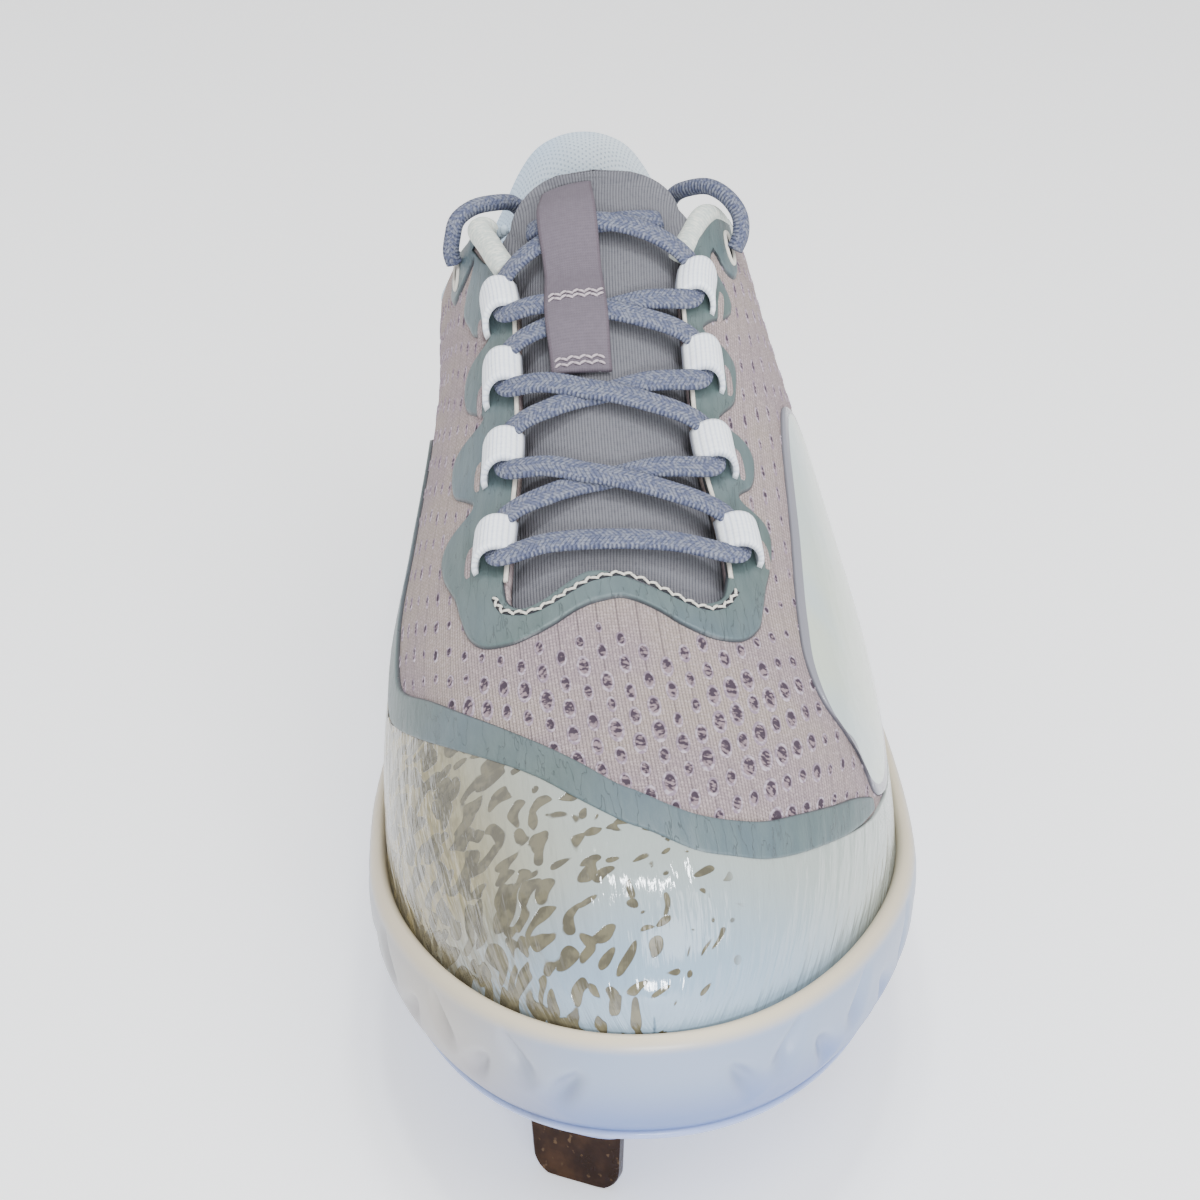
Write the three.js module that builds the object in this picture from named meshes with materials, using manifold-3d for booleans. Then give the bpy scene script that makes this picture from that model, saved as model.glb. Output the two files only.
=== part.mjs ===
// A low-cut baseball cleat for the left foot, empty, standing on its metal spikes.
// Millimetres, +Z up, the toe towards -Y and the inner (medial) side towards -X.
// The origin lies on the floor, under the middle of the sole's outline.
// The upper, the cup, the overlays and the laces all follow one function, skin(), which is the last.
import * as THREE from "three";
import { mergeVertices } from "three/addons/utils/BufferGeometryUtils.js";
import Module from "manifold-3d";

const wasm = await Module();
wasm.setup();

// Driving dimensions
const LENGTH = 298; // sole outline, toe to heel
const WIDTH = 104; // sole outline across the ball
const STUD_DROP = 16; // floor to the lowest face of the plate
const TOE_SPRING = 8; // lift of the plate at the toe tip
const RIM_HEIGHT = 25; // plate to the lip of the cup at the toe
const BED_HEIGHT = 12; // plate to the bed at the forefoot
const INSTEP = 75; // bed to the ridge of the last at the instep
const WALL = 2; // thickness of the upper
const GAP = 0.3; // clearance between pieces that touch
const RIM_COVER = 3.6; // the upper starts this far inside the outline
const BELLY = 6; // swell of the quarters over the lip
const RIDGE_SHIFT = 4; // lean of the ridge to the medial side
const HEEL_LEAN = 7; // lean of the heel's back at its top
const LEAN_START = 55; // height above which the heel leans
const LEAN_RISE = 40; // rise over which the lean is reached
const TIP_X = -4; // toe tip, sideways
const TAIL_X = 1; // middle of the heel, sideways
const PLATE_THICK = 2.8;
const PLATE_INSET = 4.3; // top edge of the plate, inside the outline
const PLATE_CHAMFER = 3.4;
const CUP_UNDERCUT = 4.6; // the cup's foot, inside the outline
const LIP_INSET = 1.6;
const LIP_ROUND = 1.7;
const BULGE_DROP = 8; // the cup is widest this far under the lip
const INSOLE_THICK = 4.5;
const INSOLE_CLEARANCE = 0.8;
const SPIKE_HEIGHT = 12.2;
const SPIKE_WIDTH = 17.5;
const SPIKE_ROUND = 3.6; // radius of the blade's lower corners
const SPIKE_THICK = 2.4;
const POD_MARGIN = 3.2;
const TONGUE_THICK = 4.2;
const TONGUE_PAD = 1.8; // extra thickness at its top
const TONGUE_CLEARANCE = 0.9;
const TONGUE_OVERLAP = 5; // width hidden under each side of the throat
const TONGUE_TOP_HALF = 20.5; // half width of its free top
const ROLL = 2.3; // radius of the collar's padded edge
const LINING_DEPTH = 20;
const LINING_THICK = 4.2;
const LINING_SLACK = 0.8; // extra clearance inside the curved wall
const LOOP_LENGTH = 7.8; // lace loop, fore and aft
const LOOP_ACROSS = 9;
const LOOP_HEIGHT = 4.9;
const WEBBING = 1;
const LACE_WIDTH = 5;
const LACE_THICK = 2.2;
const CORD_DIAMETER = 3.6;
const AGLET_LENGTH = 12;
const AGLET_DIAMETER = 3.2;
const FILM = 0.7; // thickness of the overlays
const SLOT_LENGTH = 8;
const SLOT_WIDTH = 3;
const TAB_WIDTH = 11.4;
const TAB_THICK = 1;

const HALF = LENGTH / 2;
const HALF_WIDTH = WIDTH / 2;
const RIGHT_ANGLE = Math.PI / 2;

// Tables: a row for each section, with lengths as shares of the sizes named beside them
function table(names, ...rows) {
  return Object.fromEntries(names.map((name, i) => [name, rows.map((row) => row[i])]));
}

// Half widths of the sole's outline, as shares of HALF_WIDTH, at shares of LENGTH from the toe
const PLAN = table(
  ["at", "medial", "lateral"],
  [0.0, 0.93, 0.78],
  [0.1, 0.955, 0.86],
  [0.2, 0.99, 0.94],
  [0.28, 1.0, 0.986],
  [0.34, 0.99, 1.0],
  [0.41, 0.94, 0.992],
  [0.5, 0.83, 0.94],
  [0.6, 0.728, 0.86],
  [0.7, 0.69, 0.786],
  [0.8, 0.69, 0.742],
  [0.9, 0.684, 0.716],
  [1.0, 0.672, 0.694],
);
// Lift of the plate (TOE_SPRING), lip (RIM_HEIGHT), bed (BED_HEIGHT) and ridge (INSTEP)
const HEIGHTS = table(
  ["at", "lift", "rim", "bed", "ridge"],
  [0.0, 1.0, 0.96, 0.96, 0.46],
  [0.06, 0.62, 1.0, 0.96, 0.51],
  [0.12, 0.36, 0.99, 0.93, 0.57],
  [0.2, 0.14, 0.94, 0.91, 0.63],
  [0.28, 0.01, 0.88, 0.93, 0.7],
  [0.36, 0.0, 0.84, 0.97, 0.785],
  [0.44, 0.2, 0.82, 0.97, 0.88],
  [0.52, 0.5, 0.82, 0.97, 0.98],
  [0.6, 0.6, 0.91, 1.1, 1.09],
  [0.7, 0.37, 1.04, 1.46, 1.22],
  [0.8, 0.07, 1.17, 1.78, 1.31],
  [0.9, 0.0, 1.24, 1.88, 1.35],
  [1.0, 0.3, 1.24, 1.71, 1.35],
);
// Cross-section of the last: ridge shift (RIDGE_SHIFT), bellies (BELLY) and its squareness
const SECTION = table(
  ["at", "shift", "medial", "lateral", "power"],
  [0.0, 0.0, 0.0, 0.0, 2.2],
  [0.06, 0.15, 0.03, 0.03, 2.3],
  [0.12, 0.38, 0.06, 0.06, 2.35],
  [0.2, 0.62, 0.13, 0.13, 2.35],
  [0.28, 0.88, 0.27, 0.2, 2.3],
  [0.36, 1.0, 0.53, 0.33, 2.2],
  [0.44, 1.0, 0.83, 0.47, 2.2],
  [0.52, 0.88, 1.0, 0.53, 2.3],
  [0.6, 0.62, 1.0, 0.53, 2.5],
  [0.7, 0.25, 0.75, 0.43, 2.8],
  [0.8, 0.0, 0.57, 0.37, 3.2],
  [0.9, 0.0, 0.33, 0.27, 3.5],
  [1.0, 0.0, 0.0, 0.0, 3.5],
);
// Edges of the throat as shares of HALF_WIDTH
const THROAT = table(
  ["at", "medial", "lateral"],
  [0.33, -0.455, 0.345],
  [0.372, -0.431, 0.342],
  [0.45, -0.381, 0.29],
  [0.527, -0.367, 0.292],
  [0.596, -0.362, 0.304],
  [0.628, -0.388, 0.35],
  [0.665, -0.462, 0.42],
  [0.7, -0.506, 0.498],
);
// The throat's wavy front, from the medial to the lateral side
const WAVE = table(
  ["across", "at"],
  [-0.455, 0.33],
  [-0.45, 0.318],
  [-0.415, 0.31],
  [-0.35, 0.3085],
  [-0.28, 0.3155],
  [-0.2, 0.3265],
  [-0.125, 0.332],
  [-0.05, 0.328],
  [0.04, 0.3195],
  [0.12, 0.3115],
  [0.2, 0.307],
  [0.26, 0.3085],
  [0.31, 0.317],
  [0.345, 0.33],
);
// Top line of the upper round the ankle, above the bed as shares of INSTEP
const COLLAR = table(
  ["at", "height"],
  [0.7, 1.06],
  [0.73, 0.91],
  [0.77, 0.745],
  [0.82, 0.625],
  [0.87, 0.575],
  [0.92, 0.56],
  [0.95, 0.578],
  [0.966, 0.63],
  [0.975, 0.705],
  [0.9845, 0.81],
  [0.991, 0.872],
  [1.0, 0.925],
);
// Lace loops, from the front row back
const LOOP_ROWS = [0.3725, 0.448, 0.522, 0.591];
// Lower and upper edge of the band over the toe film, from the medial to the lateral side
const BAND = table(
  ["row", "lowAt", "lowAround", "topAt", "topAround"],
  [0, 0.6, -0.72, 0.6, -0.67],
  [1, 0.5, -0.735, 0.5, -0.66],
  [2, 0.42, -0.745, 0.42, -0.665],
  [3, 0.348, -0.722, 0.352, -0.647],
  [4, 0.305, -0.67, 0.318, -0.6],
  [5, 0.255, -0.557, 0.277, -0.49],
  [6, 0.212, -0.435, 0.237, -0.375],
  [7, 0.176, -0.318, 0.203, -0.265],
  [8, 0.145, -0.215, 0.175, -0.17],
  [9, 0.116, -0.127, 0.149, -0.085],
  [10, 0.093, -0.027, 0.124, -0.008],
  [11, 0.079, 0.065, 0.108, 0.065],
  [12, 0.072, 0.153, 0.1, 0.15],
  [13, 0.073, 0.25, 0.101, 0.25],
  [14, 0.081, 0.38, 0.112, 0.35],
  [15, 0.1, 0.488, 0.137, 0.433],
  [16, 0.132, 0.59, 0.16, 0.515],
  [17, 0.181, 0.67, 0.2, 0.6],
);
// The toe film runs from the lip up to the band: where each row starts on the lip, and its top
const FILM_ROWS = table(
  ["row", "lip", "side", "topAt", "topAround"],
  [0, 0.6, -1, 0.6, -0.735],
  [1, 0.5, -1, 0.5, -0.75],
  [2, 0.41, -1, 0.42, -0.76],
  [3, 0.33, -1, 0.346, -0.737],
  [4, 0.25, -1, 0.301, -0.685],
  [5, 0.18, -1, 0.251, -0.572],
  [6, 0.12, -1, 0.207, -0.45],
  [7, 0.07, -1, 0.17, -0.328],
  [8, 0.032, -1, 0.139, -0.222],
  [9, 0.01, -1, 0.11, -0.132],
  [10, 0.0, 1, 0.088, -0.03],
  [11, 0.01, 1, 0.074, 0.068],
  [12, 0.032, 1, 0.067, 0.158],
  [13, 0.07, 1, 0.068, 0.262],
  [14, 0.12, 1, 0.076, 0.395],
  [15, 0.18, 1, 0.096, 0.508],
  [16, 0.25, 1, 0.13, 0.62],
  [17, 0.33, 1, 0.178, 0.71],
);
// The plain panel on the lateral side: its lower and upper edge
const PANEL = table(
  ["row", "lowAt", "lowAround", "topAt", "topAround"],
  [0, 0.232, 0.6, 0.238, 0.56],
  [1, 0.215, 0.68, 0.255, 0.48],
  [2, 0.235, 0.74, 0.29, 0.44],
  [3, 0.29, 0.775, 0.335, 0.44],
  [4, 0.36, 0.79, 0.4, 0.455],
  [5, 0.43, 0.79, 0.465, 0.475],
  [6, 0.5, 0.78, 0.52, 0.5],
  [7, 0.55, 0.75, 0.558, 0.54],
  [8, 0.573, 0.69, 0.575, 0.61],
);
// The eyestay under the throat, outside and inside of the U
const FRONT_STAY = table(
  ["outAt", "outAround", "inAt", "inAround"],
  [0.333, -0.38, 0.34, -0.236],
  [0.306, -0.35, 0.322, -0.226],
  [0.288, -0.3, 0.312, -0.2],
  [0.28, -0.225, 0.3083, -0.165],
  [0.281, -0.16, 0.312, -0.115],
  [0.287, -0.098, 0.322, -0.06],
  [0.299, -0.03, 0.331, -0.012],
  [0.307, 0.03, 0.3315, 0.015],
  [0.305, 0.062, 0.327, 0.045],
  [0.296, 0.105, 0.319, 0.088],
  [0.284, 0.15, 0.311, 0.135],
  [0.276, 0.21, 0.3067, 0.18],
  [0.28, 0.275, 0.311, 0.222],
  [0.298, 0.323, 0.32, 0.248],
  [0.32, 0.343, 0.335, 0.262],
);
// Width of the eyestay beside the throat: notches, lobes at the loops, and how far back the lobes sit
const STAY_INSET = 0.8; // from the collar's edge to the eyestay
const STAY_REAR = { medial: { from: 0.66, run: 0.04, width: 19.5 }, lateral: { from: 0.638, run: 0.03, width: 18 } };
const STAY_WIDTH = { medial: { notch: 9.5, lobe: 17, back: 0.017 }, lateral: { notch: 6.4, lobe: 11.4, back: 0.003 } };
// Spikes: place as shares of HALF_WIDTH and LENGTH, and the turn of the blade in degrees
const SPIKES = table(
  ["across", "at", "turn"],
  [-0.31, 0.092, -29],
  [0.46, 0.19, 34],
  [-0.62, 0.27, -72],
  [0.7, 0.3, 74],
  [-0.6, 0.4, 84],
  [0.7, 0.41, -84],
  [-0.36, 0.76, -84],
  [0.4, 0.76, 84],
  [0.02, 0.92, 0],
);
// Slanted dents in the side of the cup, the same on both sides
const DENTS = table(
  ["at", "rise", "turn"],
  [0.012, 0.5, 38],
  [0.03, 0.66, -38],
  [0.055, 0.42, 40],
  [0.085, 0.64, -36],
  [0.125, 0.44, 40],
  [0.165, 0.64, -34],
  [0.21, 0.44, 36],
  [0.255, 0.62, -32],
  [0.3, 0.42, 34],
  [0.35, 0.6, -30],
);

// Values of a table between its rows, on a smooth curve through them
function read(rows, name, at) {
  const x = rows.at ?? rows.row;
  const y = rows[name];
  const last = x.length - 1;
  const slope = (i) => {
    if (i === 0) return (y[1] - y[0]) / (x[1] - x[0]);
    if (i === last) return (y[last] - y[last - 1]) / (x[last] - x[last - 1]);
    const back = x[i] - x[i - 1];
    const ahead = x[i + 1] - x[i];
    const rise = back * back * y[i + 1] - ahead * ahead * y[i - 1] + (ahead * ahead - back * back) * y[i];
    return rise / (back * ahead * (back + ahead));
  };
  let i = 0;
  while (i < last - 1 && x[i + 1] < at) i += 1;
  const h = x[i + 1] - x[i];
  const u = THREE.MathUtils.clamp((at - x[i]) / h, 0, 1);
  const ends = (1 + 2 * u) * (1 - u) ** 2 * y[i] + u * u * (3 - 2 * u) * y[i + 1];
  return ends + u * (1 - u) * h * ((1 - u) * slope(i) - u * slope(i + 1));
}

const clamp01 = (value) => THREE.MathUtils.clamp(value, 0, 1);
const smooth = (value) => clamp01(value) ** 2 * (3 - 2 * clamp01(value));
const mix = THREE.MathUtils.lerp;
const sideName = (side) => (side < 0 ? "medial" : "lateral");

// The last
const TOE_RUN = 0.26; // share of the length over which the toe rounds off
const TOE_POWER = 2.15;
const HEEL_RUN = 0.14;
const HEEL_POWER = 2.2;
const TIP_RUN = 0.13; // share over which the ridge rises from the toe tip
const TIP_SHARE = 0.42; // height of the upright toe front, as a share of the ridge
const TIP_POWER = 2.2;
const AXIS_START = 0.3;
const AXIS_RUN = 0.4;
const LEAN_AT = 0.72;

function rounding(at) {
  const toe = clamp01(1 - at / TOE_RUN);
  const heel = clamp01(1 - (1 - at) / HEEL_RUN);
  return (1 - toe ** TOE_POWER) ** (1 / TOE_POWER) * (1 - heel ** HEEL_POWER) ** (1 / HEEL_POWER);
}
const axis = (at) => mix(TIP_X, TAIL_X, smooth((at - AXIS_START) / AXIS_RUN));
const plateZ = (at) => STUD_DROP + TOE_SPRING * read(HEIGHTS, "lift", at);
const lipZ = (at) => plateZ(at) + RIM_HEIGHT * read(HEIGHTS, "rim", at);
const bedZ = (at) => plateZ(at) + BED_HEIGHT * read(HEIGHTS, "bed", at);
function ridgeZ(at) {
  const tip = clamp01(1 - at / TIP_RUN);
  const rise = TIP_SHARE + (1 - TIP_SHARE) * (1 - tip ** TIP_POWER) ** (1 / TIP_POWER);
  return bedZ(at) + INSTEP * read(HEIGHTS, "ridge", at) * rise;
}
function edgeX(at, side, inset) {
  const half = read(PLAN, sideName(side), at) * HALF_WIDTH - inset;
  return axis(at) + (side * half - axis(at)) * rounding(at);
}
const along = (at, inset) => ((at - 0.5) * LENGTH * (HALF - inset)) / HALF;

// A point of the sole's outline, moved inwards by inset
function outline(at, side, inset, z) {
  return new THREE.Vector3(edgeX(at, side, inset), along(at, inset), z);
}

// A point of the last: around is -1 at the medial feather edge, 0 on the ridge and 1 at the lateral one
function skin(at, around, off = 0) {
  const side = around < 0 ? -1 : 1;
  const angle = (1 - Math.abs(around)) * RIGHT_ANGLE;
  const power = read(SECTION, "power", at);
  const floor = bedZ(at);
  const ceiling = ridgeZ(at) + off;
  const rise = Math.sin(angle) ** (2 / power);
  const spread = Math.max(Math.cos(angle), 0) ** (2 / power);
  const ridge = axis(at) - RIDGE_SHIFT * read(SECTION, "shift", at) * rise;
  const start = (lipZ(at) - floor) / (ridgeZ(at) - floor);
  const swell = Math.sin(Math.PI * clamp01((rise - start) / (1 - start)) ** 0.8);
  const x = ridge + (edgeX(at, side, RIM_COVER - off) - ridge) * spread;
  const z = mix(floor, ceiling, rise);
  const lean = smooth((at - LEAN_AT) / (1 - LEAN_AT)) * HEEL_LEAN * clamp01((z - LEAN_START) / LEAN_RISE) ** 2;
  return new THREE.Vector3(
    x + side * BELLY * read(SECTION, sideName(side), at) * swell,
    along(at, RIM_COVER - off) - lean,
    z,
  );
}

// Where on the last, going round, a height or a sideways place is reached
function aroundAtHeight(at, z) {
  const share = clamp01((z - bedZ(at)) / (ridgeZ(at) - bedZ(at)));
  return 1 - Math.asin(share ** (read(SECTION, "power", at) / 2)) / RIGHT_ANGLE;
}
function aroundAcross(at, x) {
  const side = x < skin(at, 0).x ? -1 : 1;
  let near = 0;
  let far = 0.75;
  for (let step = 0; step < 30; step += 1) {
    const middle = (near + far) / 2;
    if (side * (skin(at, side * middle).x - x) < 0) near = middle;
    else far = middle;
  }
  return side * near;
}
// Moves sideways over the last by a distance in millimetres
function beside(at, around, distance) {
  const step = 0.01;
  const pace = skin(at, around + step).distanceTo(skin(at, around - step)) / (2 * step);
  return around + distance / pace;
}
function normalAt(at, around) {
  const step = 0.006;
  const lengthwise = skin(at + step, around).sub(skin(at - step, around));
  const sideways = skin(at, around + step).sub(skin(at, around - step));
  return sideways.cross(lengthwise).normalize();
}

// Facets
class Facets {
  constructor() {
    this.values = [];
  }
  triangle(a, b, c) {
    for (const p of [a, b, c]) this.values.push(p.x, p.y, p.z);
  }
  quad(a, b, c, d) {
    this.triangle(a, b, c);
    this.triangle(a, c, d);
  }
  grid(rows) {
    for (let i = 0; i + 1 < rows.length; i += 1)
      for (let j = 0; j + 1 < rows[i].length; j += 1)
        this.quad(rows[i][j], rows[i][j + 1], rows[i + 1][j + 1], rows[i + 1][j]);
  }
  solid() {
    const geometry = new THREE.BufferGeometry();
    geometry.setAttribute("position", new THREE.Float32BufferAttribute(this.values, 3));
    return solidOf(geometry);
  }
}
function solidOf(geometry) {
  const bare = geometry.index ? geometry.toNonIndexed() : geometry;
  bare.deleteAttribute("normal");
  bare.deleteAttribute("uv");
  const merged = mergeVertices(bare, 1e-4);
  const triVerts = [];
  const index = merged.index.array;
  for (let i = 0; i < index.length; i += 3) {
    const [a, b, c] = index.slice(i, i + 3);
    if (a !== b && b !== c && c !== a) triVerts.push(a, b, c);
  }
  const vertProperties = merged.attributes.position.array;
  const make = (list) =>
    new wasm.Manifold(new wasm.Mesh({ numProp: 3, vertProperties, triVerts: new Uint32Array(list) }));
  const made = make(triVerts);
  if (made.volume() > 0) return made;
  for (let i = 0; i < triVerts.length; i += 3) [triVerts[i + 1], triVerts[i + 2]] = [triVerts[i + 2], triVerts[i + 1]];
  return make(triVerts);
}

// Shares from 0 to 1, close together at both ends
const eased = (count) => Array.from({ length: count + 1 }, (_, i) => (1 - Math.cos((Math.PI * i) / count)) / 2);
const even = (count) => Array.from({ length: count + 1 }, (_, i) => i / count);

// A closed form from rings that run round the shoe, each given by its point at a share of the length
function layered(count, levels) {
  const stations = eased(count);
  const facets = new Facets();
  const row = (level, side) => stations.map((at) => level(at, side));
  facets.grid(levels.map((level) => row(level, -1)));
  facets.grid([...levels].reverse().map((level) => row(level, 1)));
  facets.grid([row(levels[0], 1), row(levels[0], -1)]);
  const top = levels[levels.length - 1];
  facets.grid([row(top, -1), row(top, 1)]);
  return facets.solid();
}

// Facets of the last: along its length and round it, with a row of corners along the lip
const FACETS = [26, 18];
function facetAround(at, share, count) {
  const lip = aroundAtHeight(at, lipZ(at));
  const knee = 1 - 2 / count;
  const size = Math.abs(share);
  return Math.sign(share) * (size > knee ? mix(lip, 1, (size - knee) / (1 - knee)) : (lip * size) / knee);
}

// The last as a solid, grown by off and reaching down below the bed by drop
function lastSolid(lengthCount, aroundCount, off, drop) {
  const stations = eased(lengthCount);
  const lower = (p) => new THREE.Vector3(p.x, p.y, p.z - drop);
  const rows = even(aroundCount).map((share) =>
    stations.map((at) => skin(at, facetAround(at, 2 * share - 1, aroundCount), off)),
  );
  if (drop > 0) {
    rows.unshift(stations.map((at) => lower(skin(at, -1, off))));
    rows.push(stations.map((at) => lower(skin(at, 1, off))));
  }
  const facets = new Facets();
  facets.grid(rows);
  facets.grid([rows[rows.length - 1], rows[0]]);
  return facets.solid();
}

// A block across the last's surface, whose sides stand square to it: each row has its two ends
function patch(rows, across) {
  const layer = (off) =>
    rows.map(([at0, around0, at1, around1]) =>
      even(across).map((share) => skin(mix(at0, at1, share), mix(around0, around1, share), off)),
    );
  return leaf(layer(3 * WALL), layer(-2 * WALL));
}
function patchRows(rows, count, ends) {
  const last = rows.row.length - 1;
  return even(count).map((share) => ends.map((name) => read(rows, name, share * last)));
}

// A closed piece between an upper and a lower grid of points
function leaf(top, bottom) {
  const facets = new Facets();
  const last = top.length - 1;
  const edge = top[0].length - 1;
  facets.grid(top);
  facets.grid(bottom.map((row) => [...row].reverse()));
  facets.grid([bottom[0], top[0]]);
  facets.grid([top[last], bottom[last]]);
  facets.grid([top.map((row) => row[0]), bottom.map((row) => row[0])]);
  facets.grid([bottom.map((row) => row[edge]), top.map((row) => row[edge])]);
  return facets.solid();
}

// A solid along frames, each with its point, right and up, and its own ring of section points
function swept(frames, sections) {
  return ringed(
    frames.map(({ point, right, up }, i) =>
      sections[i].map(([a, b]) => point.clone().addScaledVector(right, a).addScaledVector(up, b)),
    ),
  );
}

// A solid through rings of points, closed at both ends
function ringed(rings) {
  const closed = (ring) => [...ring, ring[0]];
  const facets = new Facets();
  facets.grid(rings.map(closed));
  for (const [ring, flip] of [
    [rings[0], true],
    [rings[rings.length - 1], false],
  ])
    for (let i = 1; i + 1 < ring.length; i += 1)
      if (flip) facets.triangle(ring[0], ring[i + 1], ring[i]);
      else facets.triangle(ring[0], ring[i], ring[i + 1]);
  return facets.solid();
}
function oval(width, height, sides) {
  return Array.from({ length: sides }, (_, i) => {
    const angle = (2 * Math.PI * (i + 0.5)) / sides;
    return [(Math.cos(angle) * width) / 2, (Math.sin(angle) * height) / 2];
  });
}
function framesAlong(points, upAt) {
  return points.map((point, i) => {
    const ahead = points[Math.min(i + 1, points.length - 1)];
    const behind = points[Math.max(i - 1, 0)];
    const forward = ahead.clone().sub(behind).normalize();
    const right = forward.clone().cross(upAt(i)).normalize();
    return { point, right, up: right.clone().cross(forward).normalize() };
  });
}

// A prism of an outline, standing on the floor plan or lying along X
function prism(points, depth, sideways) {
  const shape = new THREE.Shape(points.map(([a, b]) => new THREE.Vector2(a, b)));
  const geometry = new THREE.ExtrudeGeometry(shape, { depth, bevelEnabled: false });
  if (sideways) {
    const turn = new THREE.Matrix4().makeBasis(
      new THREE.Vector3(0, 1, 0),
      new THREE.Vector3(0, 0, 1),
      new THREE.Vector3(1, 0, 0),
    );
    geometry.translate(0, 0, -depth / 2).applyMatrix4(turn);
  }
  return solidOf(geometry);
}

const throatX = (side, at) => read(THROAT, sideName(side), at) * HALF_WIDTH;
const throatAround = (side, at) => aroundAcross(at, throatX(side, at));
const collarZ = (at) => bedZ(at) + INSTEP * read(COLLAR, "height", at);
const COLLAR_START = COLLAR.at[0];

// Upper: one hollow wall, open at the throat and the collar and underneath
function throatCutter() {
  const edge = (side) => [0.665, 0.628, 0.596, 0.527, 0.45, 0.372].map((at) => [throatX(side, at), along(at, RIM_COVER)]);
  const wave = WAVE.across.map((share, i) => [share * HALF_WIDTH, along(WAVE.at[i], RIM_COVER)]);
  const top = (side) => [throatX(side, COLLAR_START), along(COLLAR_START, RIM_COVER)];
  const back = along(COLLAR_START, RIM_COVER) + 2 * ROLL;
  const points = [
    [top(-1)[0], back],
    top(-1),
    ...edge(-1),
    ...wave,
    ...edge(1).reverse(),
    top(1),
    [top(1)[0], back],
  ];
  return prism(points, INSTEP * 3, false).translate([0, 0, bedZ(0.36) + INSTEP * 0.4]);
}
function collarCutter() {
  const line = even(22).map((share) => {
    const at = mix(COLLAR_START, 0.994, share);
    const p = skin(at, aroundAtHeight(at, collarZ(at)));
    return [p.y, p.z];
  });
  const high = 3 * INSTEP;
  return prism([[line[0][0], high], ...line, [HALF + BELLY, collarZ(1)], [HALF + BELLY, high]], 2 * WIDTH, true);
}
// The top eyelet on each side is an upright slot near the corner of throat and collar
const SLOTS = { medial: { at: 0.711, around: -0.548 }, lateral: { at: 0.668, around: 0.415 } };
function slotFrame(side) {
  const { at, around } = SLOTS[sideName(side)];
  const out = normalAt(at, around);
  const down = skin(at, around + side * 0.02).sub(skin(at, around - side * 0.02)).normalize();
  return { point: skin(at, around), out, down, across: down.clone().cross(out).normalize() };
}
function slotCutter(side) {
  const { point, out, down, across } = slotFrame(side);
  const ring = oval(SLOT_WIDTH, SLOT_LENGTH, 10);
  const depth = 4 * WALL;
  const frames = [-depth, depth].map((distance) => ({
    point: point.clone().addScaledVector(out, distance),
    right: across,
    up: down,
  }));
  return swept(frames, [ring, ring]);
}
function upperSolid() {
  let solid = lastSolid(...FACETS, 0, 0).subtract(lastSolid(...FACETS, -WALL, 4 * WALL));
  solid = solid.subtract(throatCutter()).subtract(collarCutter());
  for (const side of [-1, 1]) solid = solid.subtract(slotCutter(side));
  return solid;
}

// Sole: a plate with pods over the spikes, and the cup with its lip and dented side
function spikePlace(i) {
  const at = SPIKES.at[i];
  return { x: SPIKES.across[i] * HALF_WIDTH, y: along(at, 0), at, turn: (SPIKES.turn[i] * Math.PI) / 180 };
}
function podSolid(i) {
  const { x, y, at, turn } = spikePlace(i);
  const right = new THREE.Vector3(Math.cos(turn), Math.sin(turn), 0);
  const forward = new THREE.Vector3(-Math.sin(turn), Math.cos(turn), 0);
  const bottom = SPIKE_HEIGHT + GAP;
  const top = plateZ(at) + PLATE_THICK / 2;
  const frames = [bottom, bottom + 1, top].map((z) => ({ point: new THREE.Vector3(x, y, z), right, up: forward }));
  const size = (grow) => oval(SPIKE_WIDTH + POD_MARGIN + grow, SPIKE_THICK + 2 * POD_MARGIN + grow, 10);
  return swept(frames, [size(-1.6), size(0), size(2.2)]);
}
function plateSolid() {
  const level = (inset, rise) => (at, side) => outline(at, side, inset, plateZ(at) + rise);
  let solid = layered(FACETS[0], [
    level(PLATE_INSET + PLATE_CHAMFER, 0),
    level(PLATE_INSET + 0.9, 0.9),
    level(PLATE_INSET, PLATE_THICK),
  ]);
  SPIKES.at.forEach((_, i) => {
    solid = solid.add(podSolid(i));
  });
  return solid;
}
function spikeSolid(i) {
  const { x, y, turn } = spikePlace(i);
  const half = SPIKE_WIDTH / 2;
  const shape = new THREE.Shape();
  shape.moveTo(half, SPIKE_HEIGHT);
  shape.lineTo(-half, SPIKE_HEIGHT);
  shape.lineTo(0.4 - half, SPIKE_ROUND);
  shape.quadraticCurveTo(1.1 - half, 0.5, SPIKE_ROUND - half + 1, 0);
  shape.lineTo(half - SPIKE_ROUND - 1, 0);
  shape.quadraticCurveTo(half - 1.1, 0.5, half - 0.4, SPIKE_ROUND);
  const blade = new THREE.ExtrudeGeometry(shape, { depth: SPIKE_THICK, bevelEnabled: false, curveSegments: 3 });
  blade.translate(0, 0, -SPIKE_THICK / 2).rotateX(RIGHT_ANGLE).rotateZ(turn).translate(x, y, 0);
  return solidOf(blade);
}
function dentSolid(at, side, rise, turn) {
  const z = mix(plateZ(at) + PLATE_THICK, lipZ(at), rise);
  const point = outline(at, side, 0, z);
  const ahead = outline(at + 0.004, side, 0, z).sub(outline(Math.max(at - 0.004, 0), side, 0, z)).normalize();
  const out = new THREE.Vector3(ahead.y, -ahead.x, 0).multiplyScalar(side);
  const geometry = new THREE.OctahedronGeometry(1);
  geometry.scale(1.5, 2.4, 6.5).rotateX((turn * Math.PI) / 180);
  const basis = new THREE.Matrix4().makeBasis(out, ahead, new THREE.Vector3(0, 0, 1));
  if (basis.determinant() < 0) geometry.scale(1, -1, 1);
  geometry.applyMatrix4(basis).translate(point.x, point.y, point.z);
  return solidOf(geometry);
}
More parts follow.
